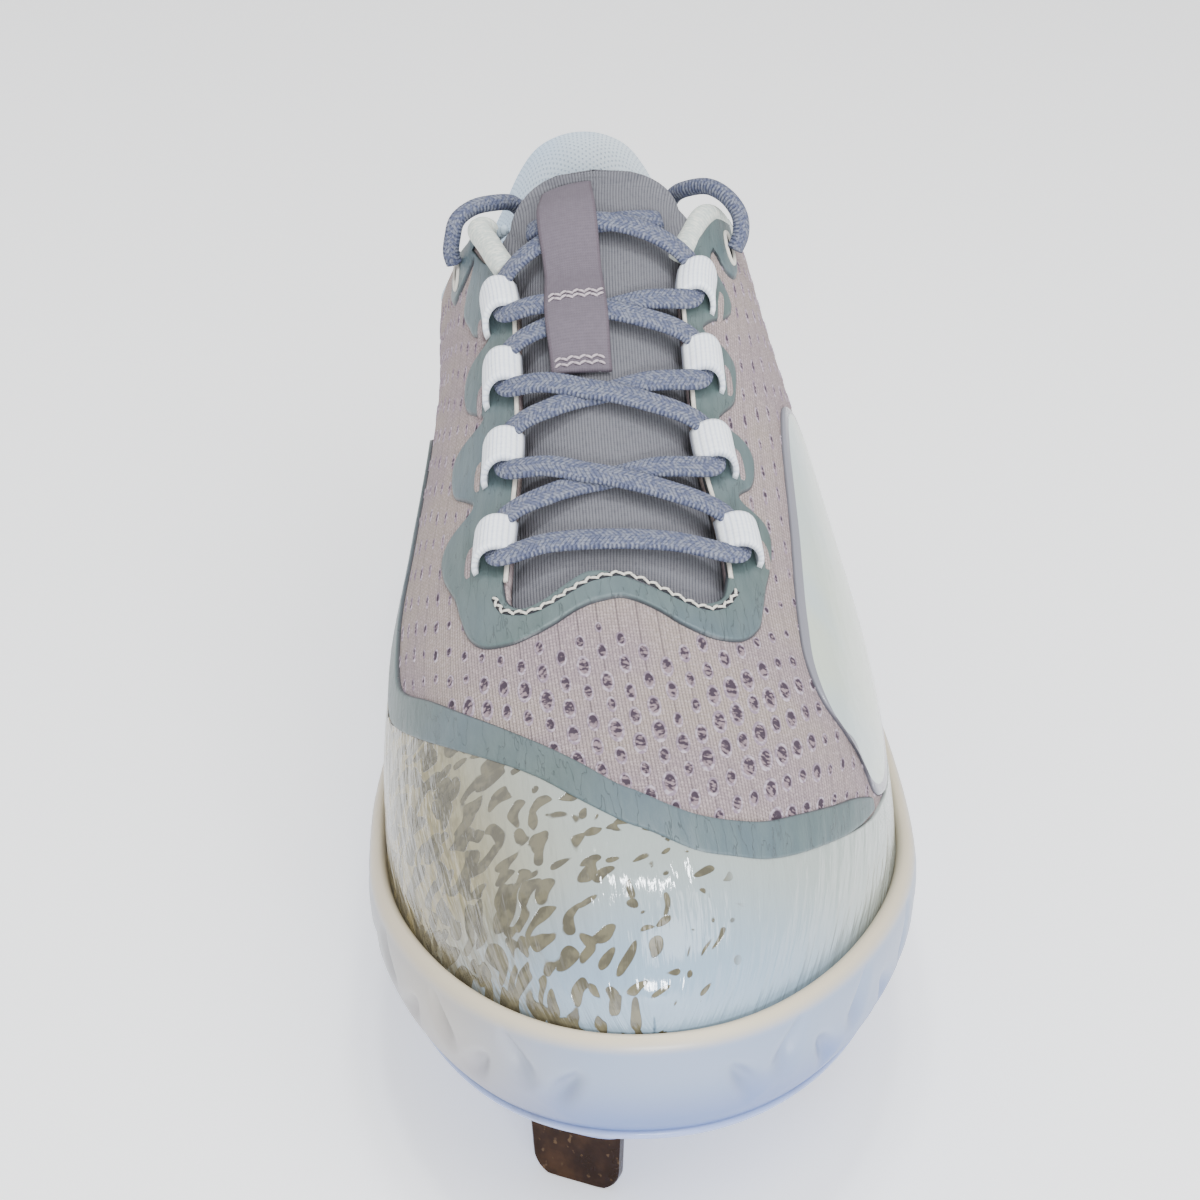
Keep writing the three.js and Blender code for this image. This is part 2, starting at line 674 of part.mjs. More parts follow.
function cupSolid() {
  const foot = (at) => plateZ(at) + PLATE_THICK + GAP;
  const level = (inset, z) => (at, side) => outline(at, side, inset, z(at));
  let solid = layered(FACETS[0], [
    level(CUP_UNDERCUT, foot),
    level(CUP_UNDERCUT / 2, (at) => foot(at) + 1.2),
    level(0.6, (at) => mix(foot(at), lipZ(at) - BULGE_DROP, 0.5)),
    level(0, (at) => lipZ(at) - BULGE_DROP),
    level(LIP_INSET / 2, (at) => lipZ(at) - LIP_ROUND / 2),
    level(LIP_INSET, lipZ),
  ]).subtract(lastSolid(...FACETS, GAP, GAP));
  DENTS.at.forEach((at, i) => {
    for (const side of [-1, 1]) solid = solid.subtract(dentSolid(at, side, DENTS.rise[i], DENTS.turn[i]));
  });
  return solid;
}
function insoleSolid() {
  const inset = RIM_COVER + WALL + INSOLE_CLEARANCE;
  const level = (extra, rise) => (at, side) => outline(at, side, inset + extra, bedZ(at) + rise);
  return layered(20, [level(0, 0), level(0, INSOLE_THICK - 0.8), level(0.8, INSOLE_THICK)]);
}

// Tongue: a padded leaf under the throat, crowned between the collar's edges and rising past them
const TONGUE_START = 0.285;
const TONGUE_FREE = 0.6; // where the collar's padded edge begins
const TONGUE_END = 0.688;
const CROWN_LOW = 2.1; // crown under the laces
const CROWN_HIGH = 3.7; // crown of its free top
const TONGUE_DOWN = -WALL - TONGUE_CLEARANCE; // its surface under the wall
const throatMiddle = (at) => (throatX(1, Math.max(at, THROAT.at[0])) + throatX(-1, Math.max(at, THROAT.at[0]))) / 2;
const throatHalf = (at) => (throatX(1, Math.max(at, THROAT.at[0])) - throatX(-1, Math.max(at, THROAT.at[0]))) / 2;
const freed = (at) => smooth((at - TONGUE_FREE) / 0.05);
function tongueHalf(at) {
  const end = clamp01((at - 0.655) / (TONGUE_END - 0.655));
  return mix(throatHalf(at) + TONGUE_OVERLAP, TONGUE_TOP_HALF, freed(at)) * (1 - end ** 3.2) ** (1 / 3.2);
}
function tongueOff(at, across) {
  const open = throatHalf(at) - mix(0.6, 2 * ROLL + 0.9, freed(at));
  const inside = clamp01(1 - (across / open) ** 2);
  const crown = mix(CROWN_LOW, CROWN_HIGH, smooth((at - TONGUE_FREE) / 0.08)) * smooth((at - 0.318) / 0.05);
  const lift = smooth((at - 0.655) / 0.03) * 1.4; // the top stands clear of the collar
  return TONGUE_DOWN + crown * inside ** 0.6 - 0.9 * clamp01(crown - CROWN_LOW) + lift;
}
function tonguePoint(at, share, down) {
  const across = share * tongueHalf(at);
  return skin(at, aroundAcross(at, throatMiddle(at) + across), tongueOff(at, across) - down);
}
function tongueSolid() {
  const ends = [0.64, 0.658, 0.67, 0.679, 0.6845, TONGUE_END];
  const stations = [...even(9).map((share) => mix(TONGUE_START, 0.62, share)), ...ends];
  const shares = [-1, -0.9, -0.68, -0.36, 0, 0.36, 0.68, 0.9, 1];
  const thick = (at, share) => {
    const pad = TONGUE_PAD * smooth((at - 0.56) / 0.1);
    const rim = 1 - 0.8 * smooth((at - 0.67) / (TONGUE_END - 0.67));
    return (TONGUE_THICK + pad) * rim * (1 - 0.6 * share ** 4);
  };
  const top = stations.map((at) => shares.map((share) => tonguePoint(at, share, 0)));
  const bottom = stations.map((at) => shares.map((share) => tonguePoint(at, share, thick(at, share))));
  return leaf(top, bottom);
}

// The wall of the upper with its clearance, which the lining is wrapped round
function wallWithGap() {
  return lastSolid(...FACETS, GAP, 0)
    .subtract(lastSolid(...FACETS, -WALL - GAP, 4 * WALL))
    .subtract(throatCutter())
    .subtract(collarCutter().translate([0, 0, GAP]));
}

// Collar lining: a round padded edge beside the throat's top, deepening to a padded lining round the heel
function liningPath() {
  const side = (sign) => [
    ...[0.632, 0.642, 0.66, 0.677, 0.69].map((at) => [at, throatAround(sign, at)]),
    ...[0.706, 0.722, 0.745, 0.775, 0.81, 0.85, 0.89, 0.925, 0.95, 0.966, 0.978, 0.988, 0.996].map((at) => [
      at,
      sign * aroundAtHeight(at, collarZ(at)),
    ]),
  ];
  return [...side(-1), [1, 0.5], ...side(1).reverse()].map(([at, around]) =>
    at === 1 ? [1, aroundAtHeight(1, collarZ(1))] : [at, around],
  );
}
function liningSolid() {
  const path = liningPath();
  const below = -WALL - GAP - LINING_SLACK;
  const inner = below - LINING_THICK;
  // Off the wall and down from its edge, for the padded edge round the ankle
  const padded = [
    [below, LINING_DEPTH],
    [below, LINING_DEPTH * 0.5],
    [below, 0.6],
    [-0.9, -GAP - 0.4],
    [0.1, -1.4],
    [-0.5, -3.2],
    [-2.4, -4.4],
    [-4.9, -4],
    [inner, -1.2],
    [inner - 0.3, 4],
    [inner + 1, LINING_DEPTH * 0.6],
    [below - 1.1, LINING_DEPTH],
  ];
  const tube = padded.map((_, k) => {
    const angle = (110 - 30 * k) * (Math.PI / 180);
    return [ROLL * Math.cos(angle) - 0.2, ROLL * Math.sin(angle) - ROLL - GAP];
  });
  const rings = path.map(([at, around]) => {
    const grown = smooth((at - 0.735) / 0.09);
    const side = around < 0 ? -1 : 1;
    const start = at < 0.64 ? 0.6 : 1;
    return tube.map(([off, down], k) => {
      const depth = start * mix(down, padded[k][1], grown) - (1 - start) * ROLL;
      return skin(at, beside(at, around, side * depth), start * mix(off, padded[k][0], grown));
    });
  });
  return ringed(rings).subtract(wallWithGap());
}

// Lace loops: a band of webbing arching over the eyestay, open fore and aft
const LOOP_EDGE = -1.7; // the loop starts this far outside the throat's edge
const stayTop = GAP + FILM;
function loopSolid(side, row) {
  const middle = LOOP_ROWS[row];
  const arch = (at, height, spread) => {
    const start = beside(at, throatAround(side, at), side * (LOOP_EDGE + spread));
    const end = beside(at, start, side * (LOOP_ACROSS - 2 * spread));
    return even(6).map((share) => {
      const lift = Math.sin(Math.PI * share) ** 0.6 * (height - spread);
      return skin(at, mix(start, end, share), stayTop + GAP + lift);
    });
  };
  const half = LOOP_LENGTH / 2 / LENGTH;
  const stations = [middle - half, middle, middle + half];
  const outer = stations.map((at) => arch(at, LOOP_HEIGHT, 0));
  const inner = stations.map((at) => arch(at, LOOP_HEIGHT - WEBBING * 0.4, WEBBING));
  return leaf(outer, inner);
}

// Laces
const LACE_OFF = stayTop + GAP + LACE_THICK / 2 + 0.5; // middle of the lace inside a loop
const LACE_LOW = 0.5; // middle of the lower strand over the tongue
const LACE_HIGH = LACE_LOW + LACE_THICK - 0.3;
const MOUTH = LOOP_LENGTH / 2 + LACE_WIDTH / 2 + 0.9; // from a loop's middle to where its strands end
function mouth(side, row, way) {
  const at = LOOP_ROWS[row] + (way * MOUTH) / LENGTH;
  return [at, beside(at, throatAround(side, at), side * (LOOP_EDGE + LOOP_ACROSS / 2)), LACE_OFF];
}
function strand(stops, steps) {
  const places = new THREE.CatmullRomCurve3(
    stops.map(([at, around, off]) => new THREE.Vector3(at, around, off / LENGTH)),
    false,
    "centripetal",
  ).getPoints(steps);
  const points = places.map(({ x, y, z }) => skin(x, y, z * LENGTH));
  const frames = framesAlong(points, (i) => normalAt(places[i].x, places[i].y));
  return swept(frames, frames.map(() => oval(LACE_WIDTH, LACE_THICK, 6)));
}
function crossSolid(row) {
  const high = [mouth(-1, row + 1, -1), mouth(1, row, 1)];
  const low = [mouth(1, row + 1, -1), mouth(-1, row, 1)];
  return crossing(high, low);
}
function between([from, to], off) {
  const near = (share, height) => [mix(from[0], to[0], share), mix(from[1], to[1], share), height];
  const rim = 0.27;
  return [from, near(rim, mix(off, LACE_OFF, 0.45)), near(0.5, off), near(1 - rim, mix(off, LACE_OFF, 0.45)), to];
}
function crossing(high, low) {
  return strand(between(high, LACE_HIGH), 8).add(strand(between(low, LACE_LOW), 8));
}
function topCrossSolid() {
  const at = 0.652;
  const rest = (place, across) => tongueOff(place, across) + GAP + LACE_THICK / 2;
  const tuck = (side) => {
    const across = side * (throatHalf(at) - 2 * ROLL - LACE_WIDTH / 2 - 0.4);
    return [at, aroundAcross(at, throatMiddle(at) + across), rest(at, across) + 0.9];
  };
  const course = (side, rise) => {
    const from = mouth(side, 3, 1);
    const to = tuck(-side);
    const middle = mix(from[0], to[0], 0.5);
    return [from, [middle, mix(from[1], to[1], 0.5), rest(middle, 0) + 1.1 + rise], to];
  };
  return strand(course(1, LACE_THICK - 0.3), 8).add(strand(course(-1, 0), 8));
}
function barSolid() {
  const from = mouth(-1, 0, -1);
  const to = mouth(1, 0, -1);
  const near = (share, off) => [mix(from[0], to[0], share), mix(from[1], to[1], share), off];
  return strand([from, near(0.25, 1.4), near(0.5, 1), near(0.75, 1.4), to], 8);
}

// Lace ends: out of the slot, up over the collar's corner and down behind the tongue
const END_ROUTES = {
  medial: [
    [-31, 61.3, 106.2],
    [-31.6, 61.5, 108.5],
    [-31.2, 62.5, 111.5],
    [-30, 64.2, 115],
    [-26.4, 66.4, 117],
    [-21.6, 68.6, 117.2],
    [-18, 70.8, 116.3],
    [-15.8, 72.6, 113.8],
    [-14.6, 74, 110.4],
    [-13.9, 75, 106.8],
    [-13.4, 75.8, 103],
  ],
  lateral: [
    [29, 48.4, 111.4],
    [30.4, 49.6, 114.1],
    [30.6, 52.4, 117.4],
    [28.4, 56.8, 120.3],
    [24.7, 61.4, 121.4],
    [20.4, 65.4, 119.8],
    [17.9, 68.8, 117.4],
    [16.4, 71, 114],
    [15.6, 72.4, 110.4],
    [15.1, 73.4, 106.8],
    [14.8, 74.2, 103.2],
  ],
};
function endPoints(side) {
  return END_ROUTES[sideName(side)].map(([x, y, z]) => new THREE.Vector3(x, y, z));
}
function laceEndSolid(side) {
  const curve = new THREE.CatmullRomCurve3(endPoints(side), false, "centripetal");
  const shape = new THREE.Shape(oval(CORD_DIAMETER, CORD_DIAMETER, 8).map(([a, b]) => new THREE.Vector2(a, b)));
  return solidOf(new THREE.ExtrudeGeometry(shape, { steps: 16, extrudePath: curve }));
}
function agletSolid(side) {
  const points = endPoints(side);
  const end = points[points.length - 1];
  const down = end.clone().sub(points[points.length - 2]).normalize();
  const geometry = new THREE.CylinderGeometry(AGLET_DIAMETER / 2, AGLET_DIAMETER / 2, AGLET_LENGTH, 10);
  geometry.applyQuaternion(new THREE.Quaternion().setFromUnitVectors(new THREE.Vector3(0, 1, 0), down));
  const middle = end.clone().addScaledVector(down, AGLET_LENGTH / 2 + GAP);
  return solidOf(geometry.translate(middle.x, middle.y, middle.z));
}

// Tab: a webbing strap down the tongue, over the laces
const TAB_MIDDLE = -6.3;
const TAB = table(
  ["at", "off"],
  [0.508, 1.5],
  [0.522, 2.4],
  [0.538, 4.7],
  [0.558, 5.1],
  [0.575, 3.6],
  [0.589, 2.6],
  [0.605, 3.6],
  [0.62, 6.2],
  [0.642, 6.8],
  [0.66, 4.8],
  [0.675, 3.1],
  [0.684, 2.9],
);
function tabSolid() {
  const stations = even(13).map((share) => mix(TAB.at[0], TAB.at[TAB.at.length - 1], share));
  const line = (down) =>
    stations.map((at) =>
      even(2).map((share) => {
        const x = TAB_MIDDLE + (share - 0.5) * TAB_WIDTH + (at - 0.6) * 10;
        return skin(at, aroundAcross(at, x), read(TAB, "off", at) - down);
      }),
    );
  return leaf(line(0), line(TAB_THICK));
}

// Overlays are cut from a thin shell over the last, above the lip
const belowLip = layered(FACETS[0], [
  (at, side) => outline(at, side, LIP_INSET, plateZ(at)),
  (at, side) => outline(at, side, LIP_INSET, lipZ(at) + GAP),
]);
const filmShell = lastSolid(...FACETS, stayTop, 0)
  .subtract(lastSolid(...FACETS, GAP, 4 * WALL))
  .subtract(belowLip)
  .subtract(throatCutter())
  .subtract(collarCutter().translate([0, 0, -STAY_INSET]));
const overlay = (rows, across) => filmShell.intersect(patch(rows, across));

function eyestaySolid() {
  const sideRows = (side) => {
    const { notch, lobe, back } = STAY_WIDTH[sideName(side)];
    const ends = STAY_REAR[sideName(side)]; // round the top eyelets it widens
    const pitch = (LOOP_ROWS[3] - LOOP_ROWS[0]) / 3;
    const rear = SLOTS[sideName(side)].at + SLOT_LENGTH / LENGTH / 2;
    return even(26).map((share) => {
      const at = mix(rear, 0.345, share);
      const phase = (at - back - LOOP_ROWS[0]) / pitch;
      const away = Math.min(Math.abs(phase - Math.round(THREE.MathUtils.clamp(phase, 0, 3))) * 2, 1);
      const rearward = smooth((at - ends.from) / ends.run);
      const width = mix(mix(lobe, notch, away ** 3), ends.width, rearward);
      const inner = beside(at, throatAround(side, at), side * (at > ends.from ? STAY_INSET : 0));
      return [at, beside(at, inner, side * width), at, inner];
    });
  };
  const names = ["outAt", "outAround", "inAt", "inAround"];
  const front = FRONT_STAY.outAt.map((_, i) => names.map((name) => FRONT_STAY[name][i]));
  let solid = overlay([...sideRows(-1), ...front, ...sideRows(1).reverse()], 1);
  for (const side of [-1, 1]) solid = solid.subtract(slotCutter(side));
  return solid;
}
const EDGES = ["lowAt", "lowAround", "topAt", "topAround"];
const bandSolid = () => overlay(patchRows(BAND, 24, EDGES), 1);
const panelSolid = () => overlay(patchRows(PANEL, 14, EDGES), 4);
function toeFilmSolid() {
  const last = FILM_ROWS.row.length - 1;
  const rows = even(24).map((share) => {
    const row = share * last;
    const lip = Math.max(read(FILM_ROWS, "lip", row), 0.0004);
    const side = row < last * 0.59 ? -1 : 1;
    const low = side * Math.min(aroundAtHeight(lip, lipZ(lip)) + 0.05, 1);
    return [lip, low, read(FILM_ROWS, "topAt", row), read(FILM_ROWS, "topAround", row)];
  });
  return overlay(rows, 7);
}

// Assembly
const FINISHES = {
  plate: { color: 0xe9edf4, roughness: 0.35, metalness: 0 },
  cup: { color: 0xeff2f8, roughness: 0.45, metalness: 0 },
  spike: { color: 0x6b4a2f, roughness: 0.35, metalness: 1 },
  knit: { color: 0xb2a5a8, roughness: 0.9, metalness: 0 },
  lining: { color: 0xe4eef8, roughness: 0.95, metalness: 0 },
  tongue: { color: 0x7a7678, roughness: 0.9, metalness: 0 },
  tab: { color: 0x94858c, roughness: 0.8, metalness: 0 },
  insole: { color: 0x8e8c92, roughness: 0.9, metalness: 0 },
  film: { color: 0xc8d0cd, roughness: 0.25, metalness: 0 },
  stay: { color: 0x7a8a8c, roughness: 0.5, metalness: 0 },
  panel: { color: 0xe2e8e0, roughness: 0.3, metalness: 0 },
  loop: { color: 0xf0f0f6, roughness: 0.7, metalness: 0 },
  lace: { color: 0x828491, roughness: 0.9, metalness: 0 },
  aglet: { color: 0x9a9aa2, roughness: 0.3, metalness: 0 },
};
const cleat = new THREE.Group();
cleat.name = "baseball_cleat";
function place(name, solid, finish) {
  const data = solid.getMesh();
  const geometry = new THREE.BufferGeometry();
  geometry.setAttribute("position", new THREE.BufferAttribute(data.vertProperties, 3));
  geometry.setIndex(new THREE.BufferAttribute(data.triVerts, 1));
  geometry.computeVertexNormals();
  const piece = new THREE.Mesh(geometry, new THREE.MeshStandardMaterial(FINISHES[finish]));
  piece.name = name;
  cleat.add(piece);
}

place("outsole_plate", plateSolid(), "plate");
place("midsole_cup", cupSolid(), "cup");
SPIKES.at.forEach((_, i) => place("spike_" + (i + 1), spikeSolid(i), "spike"));
place("upper", upperSolid(), "knit");
place("insole", insoleSolid(), "insole");
place("tongue", tongueSolid(), "tongue");
place("collar_lining", liningSolid(), "lining");
place("toe_film", toeFilmSolid(), "film");
place("vamp_band", bandSolid(), "stay");
place("eyestay", eyestaySolid(), "stay");
place("side_panel", panelSolid(), "panel");
for (const side of [-1, 1])
  LOOP_ROWS.forEach((_, row) => place("lace_loop_" + sideName(side) + "_" + (row + 1), loopSolid(side, row), "loop"));
place("lace_bar", barSolid(), "lace");
for (const row of [0, 1, 2]) place("lace_cross_" + (row + 1), crossSolid(row), "lace");
place("lace_cross_4", topCrossSolid(), "lace");
for (const side of [-1, 1]) {
  place("lace_end_" + sideName(side), laceEndSolid(side), "lace");
  place("aglet_" + sideName(side), agletSolid(side), "aglet");
}
place("tongue_tab", tabSolid(), "tab");

export default cleat;
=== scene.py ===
# %% [markdown]
# A low-cut baseball cleat for the left foot.
# The shoe stands empty on its metal spikes, with its laces drawn through webbing loops.
# Every piece here is wrapped on one surface, the last, which is the form that a shoe is made on.
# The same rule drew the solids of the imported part, so each dressed piece lies where its solid lies.

# %% Load the frame
import math

import bmesh
import bpy
import numpy as np
from mathutils import Matrix, Vector


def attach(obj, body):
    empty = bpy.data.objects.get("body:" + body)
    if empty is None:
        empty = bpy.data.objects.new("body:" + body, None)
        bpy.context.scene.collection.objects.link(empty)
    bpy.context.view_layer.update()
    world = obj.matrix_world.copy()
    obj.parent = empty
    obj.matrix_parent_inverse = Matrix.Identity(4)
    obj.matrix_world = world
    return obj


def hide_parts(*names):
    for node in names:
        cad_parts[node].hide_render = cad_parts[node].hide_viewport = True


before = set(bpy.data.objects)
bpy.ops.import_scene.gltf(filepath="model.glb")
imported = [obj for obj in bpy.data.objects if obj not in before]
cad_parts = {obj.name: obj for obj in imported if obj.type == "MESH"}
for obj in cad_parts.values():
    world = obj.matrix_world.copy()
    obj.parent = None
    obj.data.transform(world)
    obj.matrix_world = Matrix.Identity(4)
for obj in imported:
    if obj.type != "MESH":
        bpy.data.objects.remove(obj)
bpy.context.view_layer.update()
MM = 0.001
print("nodes", len(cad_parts))

# %% [markdown]
# The camera looks down on the toe from the front, a little over half a metre away.
# It is tilted slightly, as a hand-held one is, so its axes are worked out from three angles.

# %% Camera
VIEW_DISTANCE = 540
VIEW_AZIMUTH = math.radians(-2.84)
VIEW_ELEVATION = math.radians(26.67)
VIEW_ROLL = math.radians(-1.33)
VIEW_TARGET = Vector((-5.94, -40.0, 73.46))
VIEW_FOCAL = 2818  # in pixels, for a picture 1200 pixels wide
PICTURE = 1200


def place_camera():
    """Makes the camera from its angles, its distance and the point it looks at."""
    flat = math.cos(VIEW_ELEVATION)
    back = Vector((math.sin(VIEW_AZIMUTH) * flat, -math.cos(VIEW_AZIMUTH) * flat, math.sin(VIEW_ELEVATION)))
    level = (-back).cross(Vector((0, 0, 1))).normalized()
    upright = level.cross(-back)
    right = math.cos(VIEW_ROLL) * level + math.sin(VIEW_ROLL) * upright
    up = -math.sin(VIEW_ROLL) * level + math.cos(VIEW_ROLL) * upright
    data = bpy.data.cameras.new("camera")
    data.sensor_width = 36
    data.lens = 36 * VIEW_FOCAL / PICTURE
    data.clip_start = 0.01
    camera = bpy.data.objects.new("camera", data)
    place = (VIEW_TARGET + back * VIEW_DISTANCE) * MM
    camera.matrix_world = Matrix.Translation(place) @ Matrix((right, up, back)).transposed().to_4x4()
    bpy.context.scene.collection.objects.link(camera)
    bpy.context.scene.camera = camera
    return camera


camera = place_camera()
print("camera at", [round(v, 3) for v in camera.location])

# %% [markdown]
# The last is one rule. A place on it is given by how far along the shoe it lies, from 0 at the toe
# to 1 at the heel, and by how far round, from -1 at the inner feather edge over 0 on the ridge to 1.
# Short tables hold the widths, heights and cross-sections, as shares of the shoe's main sizes.
# A smooth curve through a table's rows gives the values between them.

# %% The last
LENGTH, WIDTH = 298, 104
STUD_DROP, TOE_SPRING, RIM_HEIGHT, BED_HEIGHT, INSTEP = 16, 8, 25, 12, 75
RIM_COVER, BELLY, RIDGE_SHIFT, HEEL_LEAN = 3.6, 6, 4, 7
LEAN_START, LEAN_RISE, LEAN_AT = 55, 40, 0.72
TIP_X, TAIL_X, AXIS_START, AXIS_RUN = -4, 1, 0.3, 0.4
TOE_RUN, TOE_POWER, HEEL_RUN, HEEL_POWER = 0.26, 2.15, 0.14, 2.2
TIP_RUN, TIP_SHARE, TIP_POWER = 0.13, 0.42, 2.2
WALL, GAP, ROLL = 2, 0.3, 2.3
HALF, HALF_WIDTH = LENGTH / 2, WIDTH / 2


def table(names, *rows):
    """A table with one named list for each column."""
    return {name: np.array([row[i] for row in rows], float) for i, name in enumerate(names)}


PLAN = table(
    ["at", "medial", "lateral"],
    [0.0, 0.93, 0.78], [0.1, 0.955, 0.86], [0.2, 0.99, 0.94], [0.28, 1.0, 0.986],
    [0.34, 0.99, 1.0], [0.41, 0.94, 0.992], [0.5, 0.83, 0.94], [0.6, 0.728, 0.86],
    [0.7, 0.69, 0.786], [0.8, 0.69, 0.742], [0.9, 0.684, 0.716], [1.0, 0.672, 0.694],
)
HEIGHTS = table(
    ["at", "lift", "rim", "bed", "ridge"],
    [0.0, 1.0, 0.96, 0.96, 0.46], [0.06, 0.62, 1.0, 0.96, 0.51], [0.12, 0.36, 0.99, 0.93, 0.57],
    [0.2, 0.14, 0.94, 0.91, 0.63], [0.28, 0.01, 0.88, 0.93, 0.7], [0.36, 0.0, 0.84, 0.97, 0.785],
    [0.44, 0.2, 0.82, 0.97, 0.88], [0.52, 0.5, 0.82, 0.97, 0.98], [0.6, 0.6, 0.91, 1.1, 1.09],
    [0.7, 0.37, 1.04, 1.46, 1.22], [0.8, 0.07, 1.17, 1.78, 1.31], [0.9, 0.0, 1.24, 1.88, 1.35],
    [1.0, 0.3, 1.24, 1.71, 1.35],
)
SECTION = table(
    ["at", "shift", "medial", "lateral", "power"],
    [0.0, 0.0, 0.0, 0.0, 2.2], [0.06, 0.15, 0.03, 0.03, 2.3], [0.12, 0.38, 0.06, 0.06, 2.35],
    [0.2, 0.62, 0.13, 0.13, 2.35], [0.28, 0.88, 0.27, 0.2, 2.3], [0.36, 1.0, 0.53, 0.33, 2.2],
    [0.44, 1.0, 0.83, 0.47, 2.2], [0.52, 0.88, 1.0, 0.53, 2.3], [0.6, 0.62, 1.0, 0.53, 2.5],
    [0.7, 0.25, 0.75, 0.43, 2.8], [0.8, 0.0, 0.57, 0.37, 3.2], [0.9, 0.0, 0.33, 0.27, 3.5],
    [1.0, 0.0, 0.0, 0.0, 3.5],
)
THROAT = table(
    ["at", "medial", "lateral"],
    [0.33, -0.455, 0.345], [0.372, -0.431, 0.342], [0.45, -0.381, 0.29], [0.527, -0.367, 0.292],
    [0.596, -0.362, 0.304], [0.628, -0.388, 0.35], [0.665, -0.462, 0.42], [0.7, -0.506, 0.498],
)
WAVE = table(
    ["across", "at"],
    [-0.455, 0.33], [-0.45, 0.318], [-0.415, 0.31], [-0.35, 0.3085], [-0.28, 0.3155],
    [-0.2, 0.3265], [-0.125, 0.332], [-0.05, 0.328], [0.04, 0.3195], [0.12, 0.3115],
    [0.2, 0.307], [0.26, 0.3085], [0.31, 0.317], [0.345, 0.33],
)
COLLAR = table(
    ["at", "height"],
    [0.7, 1.06], [0.73, 0.91], [0.77, 0.745], [0.82, 0.625], [0.87, 0.575], [0.92, 0.56],
    [0.95, 0.578], [0.966, 0.63], [0.975, 0.705], [0.9845, 0.81], [0.991, 0.872], [1.0, 0.925],
)


def curve_through(x, y, at):
    """A smooth curve through the points (x, y)."""
    slope = np.gradient(y, x)
    at = np.clip(at, x[0], x[-1])
    i = np.clip(np.searchsorted(x, at, side="right") - 1, 0, len(x) - 2)
    step = x[i + 1] - x[i]
    u = (at - x[i]) / step
    ends = (1 + 2 * u) * (1 - u) ** 2 * y[i] + u * u * (3 - 2 * u) * y[i + 1]
    return ends + u * (1 - u) * step * ((1 - u) * slope[i] - u * slope[i + 1])


def read(rows, name, at, key="at"):
    return curve_through(rows[key], rows[name], np.asarray(at, float))


def smooth(value):
    value = np.clip(value, 0, 1)
    return value * value * (3 - 2 * value)


def mix(a, b, share):
    return a + (b - a) * share


def rounding(at):
    toe = np.clip(1 - at / TOE_RUN, 0, 1)
    heel = np.clip(1 - (1 - at) / HEEL_RUN, 0, 1)
    front = (1 - toe**TOE_POWER) ** (1 / TOE_POWER)
    return front * (1 - heel**HEEL_POWER) ** (1 / HEEL_POWER)


def axis(at):
    return mix(TIP_X, TAIL_X, smooth((at - AXIS_START) / AXIS_RUN))


def plate_z(at):
    return STUD_DROP + TOE_SPRING * read(HEIGHTS, "lift", at)


def lip_z(at):
    return plate_z(at) + RIM_HEIGHT * read(HEIGHTS, "rim", at)


def bed_z(at):
    return plate_z(at) + BED_HEIGHT * read(HEIGHTS, "bed", at)


def ridge_z(at):
    tip = np.clip(1 - at / TIP_RUN, 0, 1)
    rise = TIP_SHARE + (1 - TIP_SHARE) * (1 - tip**TIP_POWER) ** (1 / TIP_POWER)
    return bed_z(at) + INSTEP * read(HEIGHTS, "ridge", at) * rise


def along(at, inset):
    return (at - 0.5) * LENGTH * (HALF - inset) / HALF


def edge_x(at, side, inset):
    half = np.where(side < 0, read(PLAN, "medial", at), read(PLAN, "lateral", at)) * HALF_WIDTH - inset
    return axis(at) + (side * half - axis(at)) * rounding(at)


def outline(at, side, inset, z):
    """Points of the sole's outline, moved inwards by inset, at height z."""
    at = np.asarray(at, float)
    return np.stack([edge_x(at, side, inset), along(at, inset), np.broadcast_to(z, at.shape)], -1)


def skin(at, around, off=0.0):
    """Points of the last, in millimetres, standing off its surface by off."""
    at, around, off = np.broadcast_arrays(*(np.asarray(v, float) for v in (at, around, off)))
    side = np.where(around < 0, -1.0, 1.0)
    angle = np.clip(1 - np.abs(around), 0, 1) * np.pi / 2
    power = read(SECTION, "power", at)
    floor = bed_z(at)
    ceiling = ridge_z(at) + off
    rise = np.sin(angle) ** (2 / power)
    spread = np.clip(np.cos(angle), 0, 1) ** (2 / power)
    ridge = axis(at) - RIDGE_SHIFT * read(SECTION, "shift", at) * rise
    start = (lip_z(at) - floor) / (ridge_z(at) - floor)
    swell = np.sin(np.pi * np.clip((rise - start) / (1 - start), 0, 1) ** 0.8)
    belly = BELLY * np.where(side < 0, read(SECTION, "medial", at), read(SECTION, "lateral", at))
    x = ridge + (edge_x(at, side, RIM_COVER - off) - ridge) * spread + side * belly * swell
    z = mix(floor, ceiling, rise)
    high = np.clip((z - LEAN_START) / LEAN_RISE, 0, 1) ** 2
    lean = smooth((at - LEAN_AT) / (1 - LEAN_AT)) * HEEL_LEAN * high
    return np.stack([x, along(at, RIM_COVER - off) - lean, z], -1)


def around_at_height(at, z):
    share = np.clip((z - bed_z(at)) / (ridge_z(at) - bed_z(at)), 0, 1)
    return 1 - np.arcsin(share ** (read(SECTION, "power", at) / 2)) / (np.pi / 2)


def around_across(at, x):
    """Where round the last the sideways place x is reached."""
    at, x = np.broadcast_arrays(np.asarray(at, float), np.asarray(x, float))
    side = np.where(x < skin(at, 0)[..., 0], -1.0, 1.0)
    near, far = np.zeros_like(x), np.full_like(x, 0.75)
    for _ in range(26):
        middle = (near + far) / 2
        short = side * (skin(at, side * middle)[..., 0] - x) < 0
        near, far = np.where(short, middle, near), np.where(short, far, middle)
    return side * near


def beside(at, around, distance):
    """Moves round the last by a distance in millimetres."""
    step = 0.01
    pace = np.linalg.norm(skin(at, around + step) - skin(at, around - step), axis=-1) / (2 * step)
    return around + distance / pace


